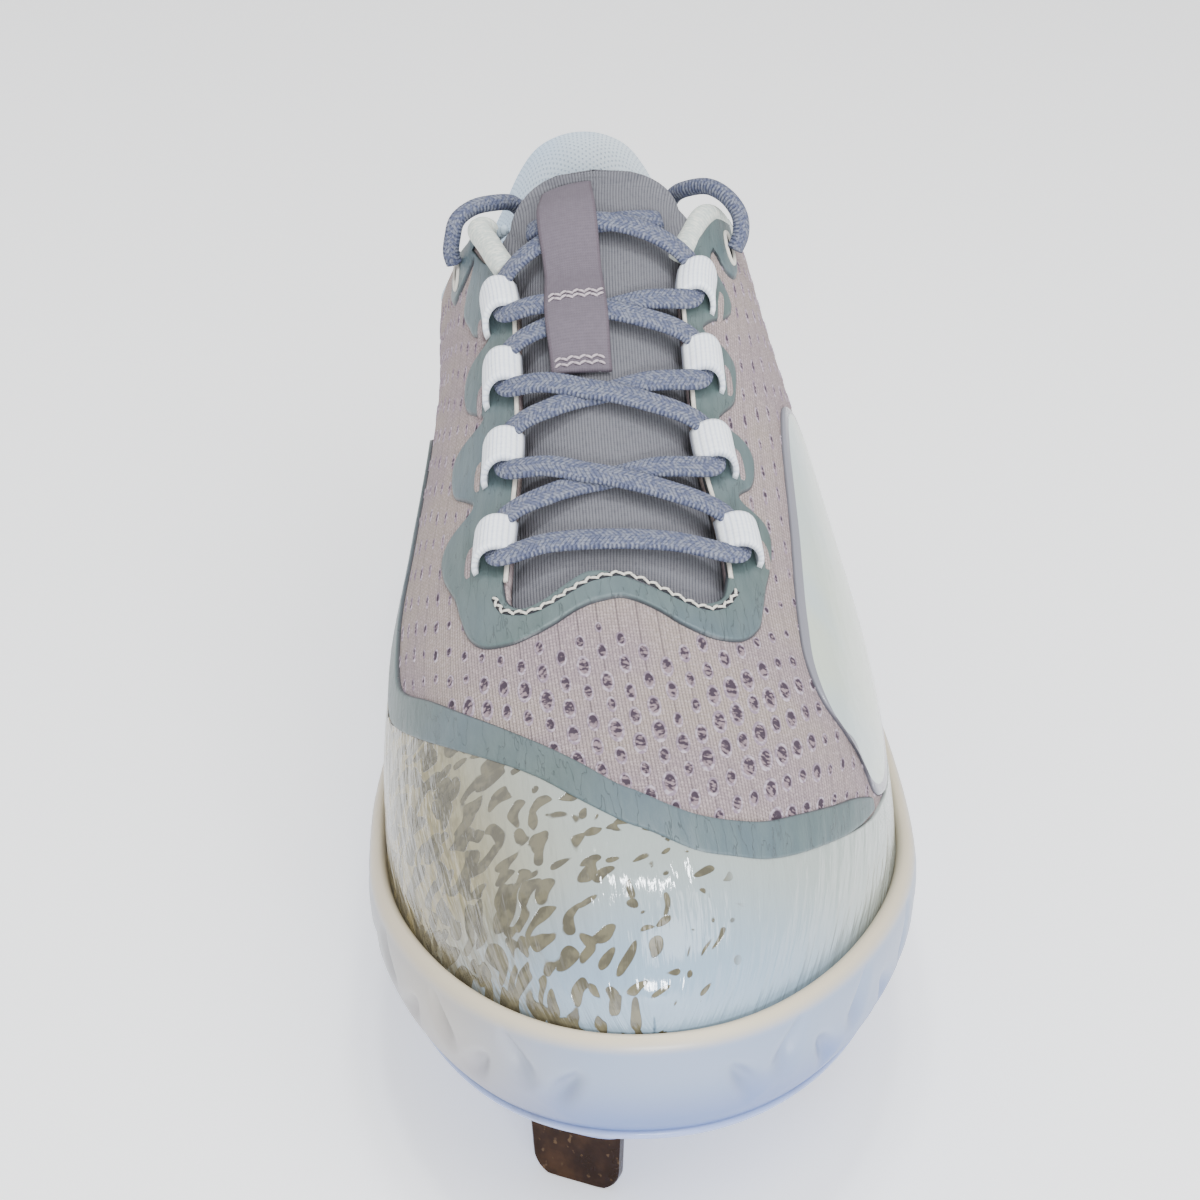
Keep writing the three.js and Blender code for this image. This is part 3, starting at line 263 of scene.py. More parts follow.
def normal_at(at, around):
    step = 0.006
    forward = skin(at + step, around) - skin(at - step, around)
    sideways = skin(at, around + step) - skin(at, around - step)
    out = np.cross(sideways, forward)
    return out / np.linalg.norm(out, axis=-1, keepdims=True)


def throat_x(side, at):
    return read(THROAT, "medial" if side < 0 else "lateral", at) * HALF_WIDTH


def throat_around(side, at):
    return around_across(at, throat_x(side, at))


def collar_z(at):
    return bed_z(at) + INSTEP * read(COLLAR, "height", at)


def eased(count):
    """Shares from 0 to 1, close together at both ends."""
    return (1 - np.cos(np.pi * np.linspace(0, 1, count + 1))) / 2


print("toe box height", round(float(skin(0.2, 0)[2]), 1), "mm")

# %% [markdown]
# Meshes come from grids of points. One helper turns a grid into faces, and another closes a piece
# between an upper and a lower grid. Each corner keeps its distance across and along in a UV map,
# in metres over the surface, so that ribs and weaves keep their scale and follow the piece.

# %% Mesh helpers


def mesh_object(name, points, faces, uv=None, shade=True, values=None):
    """An object of that mesh, with points in millimetres, doubles merged and faces outwards."""
    mesh = bpy.data.meshes.new(name)
    mesh.from_pydata((np.asarray(points) * MM).tolist(), [], [list(map(int, f)) for f in faces])
    for label, numbers in (values or {}).items():
        layer = mesh.attributes.new(label, "FLOAT", "POINT")
        layer.data.foreach_set("value", np.asarray(numbers, np.float32).ravel())
    if uv is not None:
        layer = mesh.uv_layers.new(name="UVMap")
        corner = np.array([loop.vertex_index for loop in mesh.loops])
        layer.data.foreach_set("uv", (np.asarray(uv) * MM)[corner].astype(np.float32).ravel())
    made = bmesh.new()
    made.from_mesh(mesh)
    bmesh.ops.remove_doubles(made, verts=made.verts, dist=2e-6)
    bmesh.ops.dissolve_degenerate(made, edges=made.edges, dist=1e-7)
    bmesh.ops.recalc_face_normals(made, faces=made.faces)
    made.to_mesh(mesh)
    made.free()
    if shade:
        mesh.shade_smooth()
    piece = bpy.data.objects.new(name, mesh)
    bpy.context.scene.collection.objects.link(piece)
    return piece


def grid_faces(rows, columns, start=0, flip=False):
    """Four-sided faces over a grid of points that is numbered row by row."""
    i, j = np.meshgrid(np.arange(rows - 1), np.arange(columns - 1), indexing="ij")
    a = (start + i * columns + j).ravel()
    corners = [a, a + 1, a + columns + 1, a + columns]
    return np.stack(corners[::-1] if flip else corners, -1)


def ring_faces(count, size):
    """Four-sided faces between closed rings of points that are numbered ring by ring."""
    j = np.arange(size)
    faces = []
    for i in range(count - 1):
        a, b = i * size + j, i * size + (j + 1) % size
        faces.append(np.stack([a, b, b + size, a + size], -1))
    return np.concatenate(faces).tolist()


def run_along(line):
    """The distance along a line at each of its points."""
    return np.concatenate([[0], np.cumsum(np.linalg.norm(np.diff(line, axis=0), axis=1))])


def rim_indices(rows, columns):
    """The numbers of a grid's border points, once round."""
    top = np.arange(columns)
    right = np.arange(1, rows) * columns + columns - 1
    bottom = (rows - 1) * columns + np.arange(columns - 2, -1, -1)
    left = np.arange(rows - 2, 0, -1) * columns
    return np.concatenate([top, right, bottom, left])


def leaf(name, top, bottom, uv, values=None):
    """A closed piece between two grids of points."""
    rows, columns = top.shape[:2]
    count = rows * columns
    rim = rim_indices(rows, columns)
    nxt = np.roll(rim, -1)
    side = np.stack([rim, rim + count, nxt + count, nxt], -1)
    faces = np.concatenate([grid_faces(rows, columns), grid_faces(rows, columns, count, True), side])
    points = np.concatenate([top.reshape(-1, 3), bottom.reshape(-1, 3)])
    flat = uv.reshape(-1, 2)
    both = {label: np.concatenate([v.ravel(), v.ravel()]) for label, v in (values or {}).items()}
    return mesh_object(name, points, faces, np.concatenate([flat, flat]), values=both)


def tube(name, rings, uv=None, shade=True):
    """A closed piece through rings of points, with a fan at both ends."""
    count, size = rings.shape[:2]
    faces = ring_faces(count, size)
    points = np.concatenate([rings.reshape(-1, 3), [rings[0].mean(0), rings[-1].mean(0)]])
    for end, first in ((0, 0), (1, (count - 1) * size)):
        hub = count * size + end
        faces += [[hub, first + k, first + (k + 1) % size] for k in range(size)]
    if uv is None:
        uv = np.zeros((len(points), 2))
    else:
        uv = np.concatenate([uv.reshape(-1, 2), uv[0].mean(0)[None], uv[-1].mean(0)[None]])
    return mesh_object(name, points, faces, uv, shade)


def surface_uv(at, around):
    """Millimetres across and along the last, for a pattern that follows it."""
    at, around = np.broadcast_arrays(np.asarray(at, float), np.asarray(around, float))
    steps = np.linspace(0, 1, 25)
    total = np.zeros(at.shape)
    before = skin(at, 0 * around)
    for share in steps[1:]:
        here = skin(at, around * share)
        total += np.linalg.norm(here - before, axis=-1)
        before = here
    return np.stack([np.sign(around) * total, (at - 0.5) * LENGTH], -1)


def finish_piece(piece, material, replaces=()):
    """Gives a piece its finish and its body, and hides the solids it stands for."""
    piece.data.materials.clear()
    piece.data.materials.append(material)
    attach(piece, "root")
    if replaces:
        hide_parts(*replaces)
    return piece


# %% [markdown]
# Finishes are shader nodes. A small class wraps a socket, so that maths on values is written as
# plain expressions, and one method of the finish makes any other node.

# %% Shader helpers


class Wire:
    """A value in a material, on which sums are written as expressions."""

    def __init__(self, finish, socket):
        self.finish, self.socket = finish, socket

    def maths(self, operation, other=None):
        values = {0: self} if other is None else {0: self, 1: other}
        return self.finish.node("ShaderNodeMath", {"operation": operation}, values)

    def __add__(self, other):
        return self.maths("ADD", other)

    def __sub__(self, other):
        return self.maths("SUBTRACT", other)

    def __rsub__(self, other):
        return self.finish.node("ShaderNodeMath", {"operation": "SUBTRACT"}, {0: other, 1: self})

    def __mul__(self, other):
        return self.maths("MULTIPLY", other)

    def __truediv__(self, other):
        return self.maths("DIVIDE", other)

    def ramp(self, low, high):
        """0 below low and 1 above high, smooth between them; low may be the larger."""
        settings = {"interpolation_type": "SMOOTHSTEP"}
        values = {"Value": self, "From Min": low, "From Max": high, "To Min": 0.0, "To Max": 1.0}
        return self.finish.node("ShaderNodeMapRange", settings, values)


class Finish:
    """A material and its nodes, around one Principled shader."""

    def __init__(self, name, **fixed):
        self.material = bpy.data.materials.new(name)
        self.material.use_nodes = True
        self.tree = self.material.node_tree
        self.shader = self.tree.nodes["Principled BSDF"]
        for socket, value in fixed.items():
            self.shader.inputs[socket.replace("_", " ")].default_value = value

    def node(self, kind, settings=None, values=None, out=0):
        made = self.tree.nodes.new(kind)
        for name, value in (settings or {}).items():
            setattr(made, name, value)
        for name, value in (values or {}).items():
            socket = made.inputs[name]
            if isinstance(value, Wire):
                self.tree.links.new(value.socket, socket)
            else:
                socket.default_value = value
        return Wire(self, made.outputs[out])

    def mixed(self, share, first, second):
        """A colour between two, each a wire or a colour."""
        return self.node(
            "ShaderNodeMix", {"data_type": "RGBA"}, {0: share, 6: shown(first), 7: shown(second)}, 2
        )

    def parts(self, vector):
        """The three numbers of a vector."""
        node = self.node("ShaderNodeSeparateXYZ", None, {0: vector}).socket.node
        return [Wire(self, socket) for socket in node.outputs]

    def surface(self):
        """Distances across and along the piece, in millimetres."""
        across, down, _ = self.parts(self.node("ShaderNodeUVMap", {"uv_map": "UVMap"}))
        return across * 1000.0, down * 1000.0

    def place(self):
        return self.node("ShaderNodeTexCoord", None, None, 3)

    def noise(self, scale, detail=3.0, roughness=0.5, vector=None):
        values = {"Scale": scale, "Detail": detail, "Roughness": roughness}
        values["Vector"] = vector or self.place()
        return self.node("ShaderNodeTexNoise", None, values)

    def joined(self, x, y):
        return self.node("ShaderNodeCombineXYZ", None, {0: x, 1: y})

    def set(self, socket, wire):
        self.tree.links.new(wire.socket, self.shader.inputs[socket])

    def value(self, name):
        """A number that the mesh keeps at each point."""
        return self.node("ShaderNodeAttribute", {"attribute_name": name}, None, 2)

    def stripes(self, distance, width):
        """0 on the middle of each stripe and 1 at its edges."""
        return ((distance / width).maths("FRACT") - 0.5).maths("ABSOLUTE") * 2.0

    def bump(self, height, depth, strength):
        """The normal of a surface raised by the height, at most depth millimetres."""
        values = {"Height": height, "Distance": depth * MM, "Strength": strength}
        return self.node("ShaderNodeBump", None, values)


def shown(colour):
    """A colour as the node wants it: a wire stays, three numbers get an alpha."""
    if isinstance(colour, Wire):
        return colour
    return (*colour, 1.0)


def tone(red, green, blue):
    """A screen colour from 0 to 255 as the linear one that shaders use."""
    def linear(value):
        value /= 255
        return value / 12.92 if value <= 0.04045 else ((value + 0.055) / 1.055) ** 2.4

    return tuple(linear(v) for v in (red, green, blue))


# %% [markdown]
# The lace ends are the only free cords. Each comes out of its slot by the collar, bends over the
# padded edge and hangs down behind the tongue, where it ends in a plastic tip.
# They are made first, because their solids carry the same route.

# %% Lace ends
CORD_DIAMETER = 3.6
AGLET_LENGTH = 12
AGLET_DIAMETER = 3.2
END_ROUTES = {
    "medial": [
        [-31, 61.3, 106.2], [-31.6, 61.5, 108.5], [-31.2, 62.5, 111.5],
        [-30, 64.2, 115], [-26.4, 66.4, 117], [-21.6, 68.6, 117.2],
        [-18, 70.8, 116.3], [-15.8, 72.6, 113.8], [-14.6, 74, 110.4],
        [-13.9, 75, 106.8], [-13.4, 75.8, 103],
    ],
    "lateral": [
        [29, 48.4, 111.4], [30.4, 49.6, 114.1], [30.6, 52.4, 117.4],
        [28.4, 56.8, 120.3], [24.7, 61.4, 121.4], [20.4, 65.4, 119.8],
        [17.9, 68.8, 117.4], [16.4, 71, 114], [15.6, 72.4, 110.4],
        [15.1, 73.4, 106.8], [14.8, 74.2, 103.2],
    ],
}


def centripetal(points, steps):
    """A smooth line through the points, with its knots spaced by the root of their distance."""
    points = np.asarray(points, float)
    padded = np.concatenate([[2 * points[0] - points[1]], points, [2 * points[-1] - points[-2]]])
    line = []
    for i in range(len(points) - 1):
        p = padded[i : i + 4]
        knots = np.concatenate([[0], np.cumsum(np.linalg.norm(np.diff(p, axis=0), axis=1) ** 0.5)])
        for t in np.linspace(knots[1], knots[2], steps, endpoint=False):
            a = [mix(p[k], p[k + 1], (t - knots[k]) / (knots[k + 1] - knots[k])) for k in range(3)]
            b = [mix(a[k], a[k + 1], (t - knots[k]) / (knots[k + 2] - knots[k])) for k in range(2)]
            line.append(mix(b[0], b[1], (t - knots[1]) / (knots[2] - knots[1])))
    line.append(points[-1])
    return np.array(line)


def frames_along(line, upward):
    """Sideways and upright directions at each point of a line."""
    forward = np.gradient(line, axis=0)
    forward /= np.linalg.norm(forward, axis=1, keepdims=True)
    right = np.cross(forward, upward)
    right /= np.linalg.norm(right, axis=1, keepdims=True)
    return right, np.cross(right, forward)


def turned_along(line, first):
    """Directions across a line that don't twist, starting square to first."""
    forward = np.gradient(line, axis=0)
    forward /= np.linalg.norm(forward, axis=1, keepdims=True)
    across = np.cross(forward[0], first)
    found = []
    for ahead in forward:
        across = across - ahead * (across @ ahead)
        across /= np.linalg.norm(across)
        found.append(across)
    right = np.array(found)
    return right, np.cross(right, forward)


def swept(name, line, right, up, ring, grow=None):
    """A tube with the given section along a line, with its UV in millimetres."""
    scale = np.ones(len(line)) if grow is None else grow
    rings = (
        line[:, None]
        + right[:, None] * (ring[None, :, 0:1] * scale[:, None, None])
        + up[:, None] * (ring[None, :, 1:2] * scale[:, None, None])
    )
    uv = np.stack(np.broadcast_arrays(ring[None, :, 0], run_along(line)[:, None]), -1)
    return tube(name, rings, uv)


def oval_ring(width, height, sides, power=2.0):
    """A closed ring of points, rounder or squarer by its power."""
    angle = 2 * np.pi * (np.arange(sides) + 0.5) / sides
    c, s = np.cos(angle), np.sin(angle)
    x = np.sign(c) * np.abs(c) ** (2 / power) * width / 2
    y = np.sign(s) * np.abs(s) ** (2 / power) * height / 2
    return np.stack([x, y], -1)


def lace_end(side):
    """A free lace end and its tip, as two pieces."""
    line = centripetal(END_ROUTES[side], 8)
    right, up = turned_along(line, np.array([0.0, 1.0, 0.3]))
    ring = oval_ring(CORD_DIAMETER, CORD_DIAMETER, 20)
    piece = swept("free_lace_" + side, line, right, up, ring)
    route = np.array(END_ROUTES[side])
    down = route[-1] - route[-2]
    down /= np.linalg.norm(down)
    stops = np.array([0, 0.02, 0.06, 0.94, 0.98, 1.0]) * AGLET_LENGTH + GAP
    tip_line = route[-1] + stops[:, None] * down
    tip_right, tip_up = turned_along(tip_line, np.array([0.0, 1.0, 0.3]))
    sizes = np.array([0.84, 0.95, 1, 1, 0.95, 0.84])
    tip = swept(
        "lace_tip_" + side, tip_line, tip_right, tip_up, oval_ring(AGLET_DIAMETER, AGLET_DIAMETER, 24), sizes
    )
    length = float(np.linalg.norm(np.diff(line, axis=0), axis=1).sum())
    return piece, tip, line, length


lace_ends = {side: lace_end(side) for side in ("medial", "lateral")}
for side, (_, _, _, length) in lace_ends.items():
    print("free end", side, round(length, 1), "mm")

# %% [markdown]
# The upper is one knitted sock. Its mesh is laid out so that its rows end exactly on the wavy front
# of the throat and on the collar line, which a cut through a plain grid would leave ragged.
# Solidify then gives it the thickness of the knit.

# %% Upper
THROAT_FRONT = 0.33
KNIT_THICK = 1.6


def upper_patches():
    """Grids of (at, around): the forepart with the throat's wave, and the two quarters."""
    lip, steps = 1.0, np.linspace(0, 1, 46)
    left, right = throat_around(-1, THROAT_FRONT), throat_around(1, THROAT_FRONT)
    middle = mix(left, right, eased(70))
    around = np.concatenate([mix(-lip, left, steps)[:-1], middle, mix(right, lip, steps)[1:]])
    wave_around = around_across(WAVE["at"], WAVE["across"] * HALF_WIDTH)
    front = np.where(
        (around > left) & (around < right),
        curve_through(wave_around, WAVE["at"], around),
        THROAT_FRONT,
    )
    share = 1 - np.cos(np.linspace(0, np.pi / 2, 90))
    forepart = (front[None, :] * share[:, None], np.broadcast_to(around, (90, len(around))))
    rear = 1 - (1 - THROAT_FRONT) * np.cos(np.linspace(0, np.pi / 2, 190))
    quarters = []
    for side in (-1, 1):
        beside_throat = throat_around(side, np.minimum(rear, COLLAR["at"][0]))
        on_collar = side * around_at_height(rear, collar_z(rear))
        edge = np.where(rear < COLLAR["at"][0], beside_throat, on_collar)
        quarter = mix(edge[:, None], side * lip, steps[None, :])
        quarters.append((np.broadcast_to(rear[:, None], quarter.shape), quarter))
    return [forepart, *quarters]


def upper_piece():
    points, uv, faces, start = [], [], [], 0
    for at, around in upper_patches():
        rows, columns = at.shape
        points.append(skin(at, around).reshape(-1, 3))
        uv.append(surface_uv(at, around).reshape(-1, 2))
        faces.append(grid_faces(rows, columns, start))
        start += rows * columns
    piece = mesh_object("knit_upper", *(np.concatenate(part) for part in (points, faces, uv)))
    # Faces of an open sheet are turned outwards by the one nearest the top of the toe
    top = max(piece.data.polygons, key=lambda face: face.center.z if face.center.y < -0.05 else -1)
    if top.normal.z < 0:
        piece.data.flip_normals()
    return piece


def solidify(piece, thickness):
    """Gives an open sheet its thickness on its inner side, as plain mesh."""
    modifier = piece.modifiers.new("thickness", "SOLIDIFY")
    modifier.thickness = thickness * MM
    modifier.offset = -1.0
    apply_modifiers(piece)


def apply_modifiers(piece):
    graph = bpy.context.evaluated_depsgraph_get()
    mesh = bpy.data.meshes.new_from_object(piece.evaluated_get(graph))
    piece.modifiers.clear()
    old = piece.data
    piece.data = mesh
    bpy.data.meshes.remove(old)


upper = upper_piece()
solidify(upper, KNIT_THICK)
print("upper", len(upper.data.polygons), "faces")

# %% [markdown]
# The overlays are films fused on the knit. Each is laid between two edge lines on the last, with
# its border turned down on to the knit, so it reads as a thin layer and not as a plate.

# %% Overlays
FILM, TOE_FILM, BORDER = 0.75, 0.5, 0.5


def bordered(at, around):
    """Adds a narrow border row at each side of a grid, for a rounded edge."""
    for _ in range(2):
        p = skin(at, around)
        first = np.linalg.norm(p[:, 1] - p[:, 0], axis=-1)
        last = np.linalg.norm(p[:, -1] - p[:, -2], axis=-1)
        near = np.clip(BORDER / np.maximum(first, 0.01), 0, 0.5)
        far = np.clip(BORDER / np.maximum(last, 0.01), 0, 0.5)
        wider = []
        for grid in (at, around):
            parts = [grid[:, :1]]
            parts += [mix(grid[:, :1], grid[:, 1:2], share * near[:, None]) for share in (0.4, 1.0)]
            parts.append(grid[:, 1:-1])
            parts += [mix(grid[:, -1:], grid[:, -2:-1], share * far[:, None]) for share in (1.0, 0.4)]
            parts.append(grid[:, -1:])
            wider.append(np.concatenate(parts, 1).T)
        at, around = wider
    return at, around


def overlay_on(name, at, around, off=FILM):
    """A film over a grid of places on the last, turned down on to the knit at its border."""
    at, around = bordered(at, around)
    flat = skin(at, around, off)
    run = np.cumsum(np.linalg.norm(np.diff(flat, axis=1, prepend=flat[:, :1]), axis=-1), 1)
    down = np.cumsum(np.linalg.norm(np.diff(flat, axis=0, prepend=flat[:1]), axis=-1), 0)
    border = np.minimum(np.minimum(run, run[:, -1:] - run), np.minimum(down, down[-1:] - down))
    top = skin(at, around, off - 0.75 * off * (1 - smooth(border / BORDER)))
    bottom = skin(at, around, -0.4)
    above = top[..., 2] - lip_z(at)
    return leaf(name, top, bottom, surface_uv(at, around), {"border": border, "above": above})


def overlay(name, rows, across):
    """A film between two edge lines; rows hold at and around of both ends of each row."""
    share = np.linspace(0, 1, across + 1)[None, :]
    at = mix(rows[:, 0:1], rows[:, 2:3], share)
    around = mix(rows[:, 1:2], rows[:, 3:4], share)
    return overlay_on(name, at, around)


def spread_rows(rows, names, count):
    """The named columns of a table at evenly spaced places down it."""
    place = np.linspace(rows["row"][0], rows["row"][-1], count + 1)
    return np.stack([read(rows, name, place, "row") for name in names], -1)


BAND = table(
    ["row", "lowAt", "lowAround", "topAt", "topAround"],
    [-2, 0.628, -0.93, 0.652, -0.93], [-1, 0.618, -0.83, 0.642, -0.8], [0, 0.578, -0.748, 0.592, -0.69],
    [1, 0.5, -0.742, 0.5, -0.668], [2, 0.42, -0.745, 0.42, -0.665],
    [3, 0.348, -0.722, 0.352, -0.647], [4, 0.305, -0.67, 0.318, -0.6], [5, 0.255, -0.557, 0.277, -0.49],
    [6, 0.212, -0.435, 0.237, -0.375], [7, 0.176, -0.318, 0.203, -0.265], [8, 0.145, -0.215, 0.175, -0.17],
    [9, 0.116, -0.127, 0.149, -0.085], [10, 0.093, -0.027, 0.124, -0.008], [11, 0.079, 0.065, 0.108, 0.065],
    [12, 0.072, 0.153, 0.1, 0.15], [13, 0.073, 0.25, 0.101, 0.25], [14, 0.081, 0.38, 0.11, 0.35],
    [15, 0.1, 0.488, 0.13, 0.44], [16, 0.132, 0.585, 0.157, 0.53], [17, 0.166, 0.65, 0.185, 0.605],
    [18, 0.196, 0.69, 0.206, 0.672],
)
PANEL = table(
    ["row", "lowAt", "lowAround", "topAt", "topAround"],
    [0, 0.232, 0.6, 0.238, 0.56], [1, 0.215, 0.68, 0.255, 0.48], [2, 0.235, 0.74, 0.29, 0.44],
    [3, 0.29, 0.775, 0.335, 0.44], [4, 0.36, 0.79, 0.4, 0.455], [5, 0.43, 0.79, 0.465, 0.475],
    [6, 0.5, 0.78, 0.52, 0.5], [7, 0.55, 0.75, 0.558, 0.54], [8, 0.573, 0.69, 0.575, 0.61],
)
FRONT_STAY = table(
    ["row", "outAt", "outAround", "inAt", "inAround"],
    [0, 0.333, -0.38, 0.34, -0.236], [1, 0.306, -0.35, 0.322, -0.226], [2, 0.288, -0.3, 0.312, -0.2],
    [3, 0.28, -0.225, 0.3083, -0.165], [4, 0.281, -0.16, 0.312, -0.115], [5, 0.287, -0.098, 0.322, -0.06],
    [6, 0.299, -0.03, 0.331, -0.012], [7, 0.307, 0.03, 0.3315, 0.015], [8, 0.305, 0.062, 0.327, 0.045],
    [9, 0.296, 0.105, 0.319, 0.088], [10, 0.284, 0.15, 0.311, 0.135], [11, 0.276, 0.21, 0.3067, 0.18],
    [12, 0.28, 0.275, 0.311, 0.222], [13, 0.298, 0.323, 0.32, 0.248], [14, 0.32, 0.343, 0.335, 0.262],
)
LOOP_ROWS = np.array([0.3725, 0.448, 0.522, 0.591])
STAY_EDGES = {
    "medial": table(
        ["row", "outAt", "outAround", "inAt"],
        [0, 0.735, -0.56, 0.7345], [1, 0.722, -0.6, 0.724], [2, 0.706, -0.61, 0.714],
        [3, 0.694, -0.602, 0.706], [4, 0.6865, -0.58, 0.701], [5, 0.683, -0.545, 0.697],
        [6, 0.6825, -0.5, 0.692], [7, 0.684, -0.462, 0.688], [8, 0.68, -0.452, 0.684],
        [9, 0.67, -0.468, 0.673], [10, 0.66, -0.49, 0.662], [11, 0.65, -0.503, 0.651],
        [12, 0.638, -0.5, 0.639], [13, 0.622, -0.472, 0.624], [14, 0.604, -0.44, 0.606],
        [15, 0.589, -0.385, 0.594], [16, 0.581, -0.356, 0.587], [17, 0.5755, -0.37, 0.58],
        [18, 0.572, -0.43, 0.573], [19, 0.563, -0.452, 0.564], [20, 0.545, -0.447, 0.547],
        [21, 0.531, -0.425, 0.534], [22, 0.515, -0.375, 0.52], [23, 0.507, -0.352, 0.513],
        [24, 0.501, -0.366, 0.506], [25, 0.497, -0.438, 0.499], [26, 0.488, -0.459, 0.489],
        [27, 0.47, -0.452, 0.472], [28, 0.455, -0.43, 0.458], [29, 0.438, -0.375, 0.444],
        [30, 0.429, -0.352, 0.436], [31, 0.422, -0.365, 0.428], [32, 0.415, -0.432, 0.418],
        [33, 0.403, -0.457, 0.405], [34, 0.385, -0.447, 0.387], [35, 0.368, -0.422, 0.37],
        [36, 0.356, -0.402, 0.358], [37, 0.345, -0.39, 0.346],
    ),
    "lateral": table(
        ["row", "outAt", "outAround", "inAt"],
        [0, 0.716, 0.45, 0.7155], [1, 0.7, 0.458, 0.702], [2, 0.682, 0.456, 0.69],
        [3, 0.665, 0.448, 0.679], [4, 0.652, 0.438, 0.67], [5, 0.643, 0.42, 0.664],
        [6, 0.6385, 0.392, 0.66], [7, 0.641, 0.368, 0.657], [8, 0.648, 0.345, 0.654],
        [9, 0.648, 0.335, 0.651], [10, 0.64, 0.322, 0.645], [11, 0.632, 0.32, 0.637],
        [12, 0.624, 0.338, 0.629], [13, 0.613, 0.37, 0.617], [14, 0.6, 0.376, 0.602],
        [15, 0.586, 0.345, 0.589], [16, 0.575, 0.3, 0.58], [17, 0.564, 0.27, 0.57],
        [18, 0.558, 0.282, 0.562], [19, 0.553, 0.338, 0.555], [20, 0.543, 0.36, 0.544],
        [21, 0.525, 0.355, 0.526], [22, 0.509, 0.342, 0.511], [23, 0.495, 0.31, 0.499],
        [24, 0.487, 0.295, 0.492], [25, 0.481, 0.308, 0.485], [26, 0.476, 0.358, 0.478],
        [27, 0.466, 0.377, 0.467], [28, 0.45, 0.374, 0.451], [29, 0.436, 0.358, 0.438],
        [30, 0.427, 0.333, 0.43], [31, 0.421, 0.323, 0.425], [32, 0.415, 0.334, 0.418],
        [33, 0.408, 0.378, 0.409], [34, 0.396, 0.394, 0.397], [35, 0.38, 0.39, 0.38],
        [36, 0.362, 0.378, 0.362], [37, 0.345, 0.362, 0.345],
    ),
}
SLOTS = {"medial": (0.707, -0.563), "lateral": (0.669, 0.413)}
SLOT_LENGTH, SLOT_WIDTH = 9, 2.4


def side_name(side):
    return "medial" if side < 0 else "lateral"


def collar_around(side, at):
    """Where the upper's edge lies: beside the throat, and behind it on the collar line."""
    beside_throat = throat_around(side, np.minimum(at, COLLAR["at"][0]))
    behind = side * around_at_height(at, collar_z(np.maximum(at, COLLAR["at"][0])))
    return np.where(at > COLLAR["at"][0], behind, beside_throat)


def stay_side(side, count):
    """Rows of the eyestay beside the throat, from the rear forwards, with lobes at the loops."""
    edges = STAY_EDGES[side_name(side)]
    place = np.linspace(0, edges["row"][-1], count)
    at, out_at = read(edges, "inAt", place, "row"), read(edges, "outAt", place, "row")
    inner = collar_around(side, at)
    inner = beside(at, inner, side * mix(0, 0.8, smooth((at - 0.64) / 0.02)))
    return np.stack([out_at, read(edges, "outAround", place, "row"), at, inner], -1)


names = ["lowAt", "lowAround", "topAt", "topAround"]
band = overlay("band_film", spread_rows(BAND, names, 150), 10)
panel = overlay("plain_panel", spread_rows(PANEL, names, 90), 26)
front = spread_rows(FRONT_STAY, ["outAt", "outAround", "inAt", "inAround"], 80)
stay_rows = np.concatenate([stay_side(-1, 240), front, stay_side(1, 220)[::-1]])
eyestay = overlay("eyestay_film", stay_rows, 16)


FILM_EDGE = table(
    ["around", "at"],
    [-1.0, 0.64], [-0.9, 0.635], [-0.815, 0.622], [-0.768, 0.585], [-0.757, 0.52], [-0.748, 0.44],
    [-0.738, 0.37], [-0.715, 0.336], [-0.66, 0.306], [-0.56, 0.262], [-0.43, 0.218], [-0.31, 0.183],
    [-0.2, 0.152], [-0.11, 0.124], [-0.02, 0.101], [0.066, 0.087], [0.157, 0.079], [0.258, 0.08],
    [0.385, 0.09], [0.495, 0.112], [0.6, 0.143], [0.69, 0.19], [0.76, 0.25], [0.84, 0.325], [1.0, 0.42],
)


def toe_film_piece():
    """The film runs from the toe's front up to a line that lies hidden under the band."""
    around = mix(-0.97, 0.97, eased(200))
    around = np.sort(np.concatenate([around, np.linspace(-0.83, -0.7, 40)]))
    edge = curve_through(FILM_EDGE["around"], FILM_EDGE["at"], around)
    share = 1 - np.cos(np.linspace(0, np.pi / 2, 60))
    at = edge[:, None] * share[None, :]
    return overlay_on("clear_toe_film", at, np.broadcast_to(around[:, None], at.shape), TOE_FILM)


toe_film = toe_film_piece()
print("eyestay", len(eyestay.data.polygons), "faces")

# %% [markdown]
# The cup is a moulded wall around the upper's foot. It is drawn as levels that run round the shoe,
# from its foot over the lip and down inside, and its slanted dents are pressed into the same mesh.

# %% Cup, plate and spikes
PLATE_THICK, PLATE_INSET, PLATE_CHAMFER = 2.8, 4.3, 3.4
CUP_UNDERCUT, LIP_INSET, OUTER_LEVELS = 4.6, 1.6, 44
DENT_DEPTH, DENT_HALF, DENT_WIDTH, DENT_REACH = 2.3, 6.4, 2.2, 12
SPIKE_HEIGHT, SPIKE_WIDTH, SPIKE_ROUND, SPIKE_THICK, POD_MARGIN = 12.2, 17.5, 3.6, 2.4, 3.2
DENTS = [
    (0.012, 0.5, 38), (0.03, 0.66, -38), (0.055, 0.42, 40), (0.085, 0.64, -36), (0.125, 0.44, 40),
    (0.165, 0.64, -34), (0.21, 0.44, 36), (0.255, 0.62, -32), (0.3, 0.42, 34), (0.35, 0.6, -30),
]
SPIKES = [
    (-0.31, 0.092, -29), (0.46, 0.19, 34), (-0.62, 0.27, -72), (0.7, 0.3, 74), (-0.6, 0.4, 84),
    (0.7, 0.41, -84), (-0.36, 0.76, -84), (0.4, 0.76, 84), (0.02, 0.92, 0),
]


def round_shoe(count):
    """Places once round the shoe: from heel to toe on the inner side and back on the outer one."""
    half = eased(count)
    at = np.concatenate([half[::-1], half[1:-1]])
    side = np.concatenate([-np.ones(len(half)), np.ones(len(half) - 2)])
    return at, side


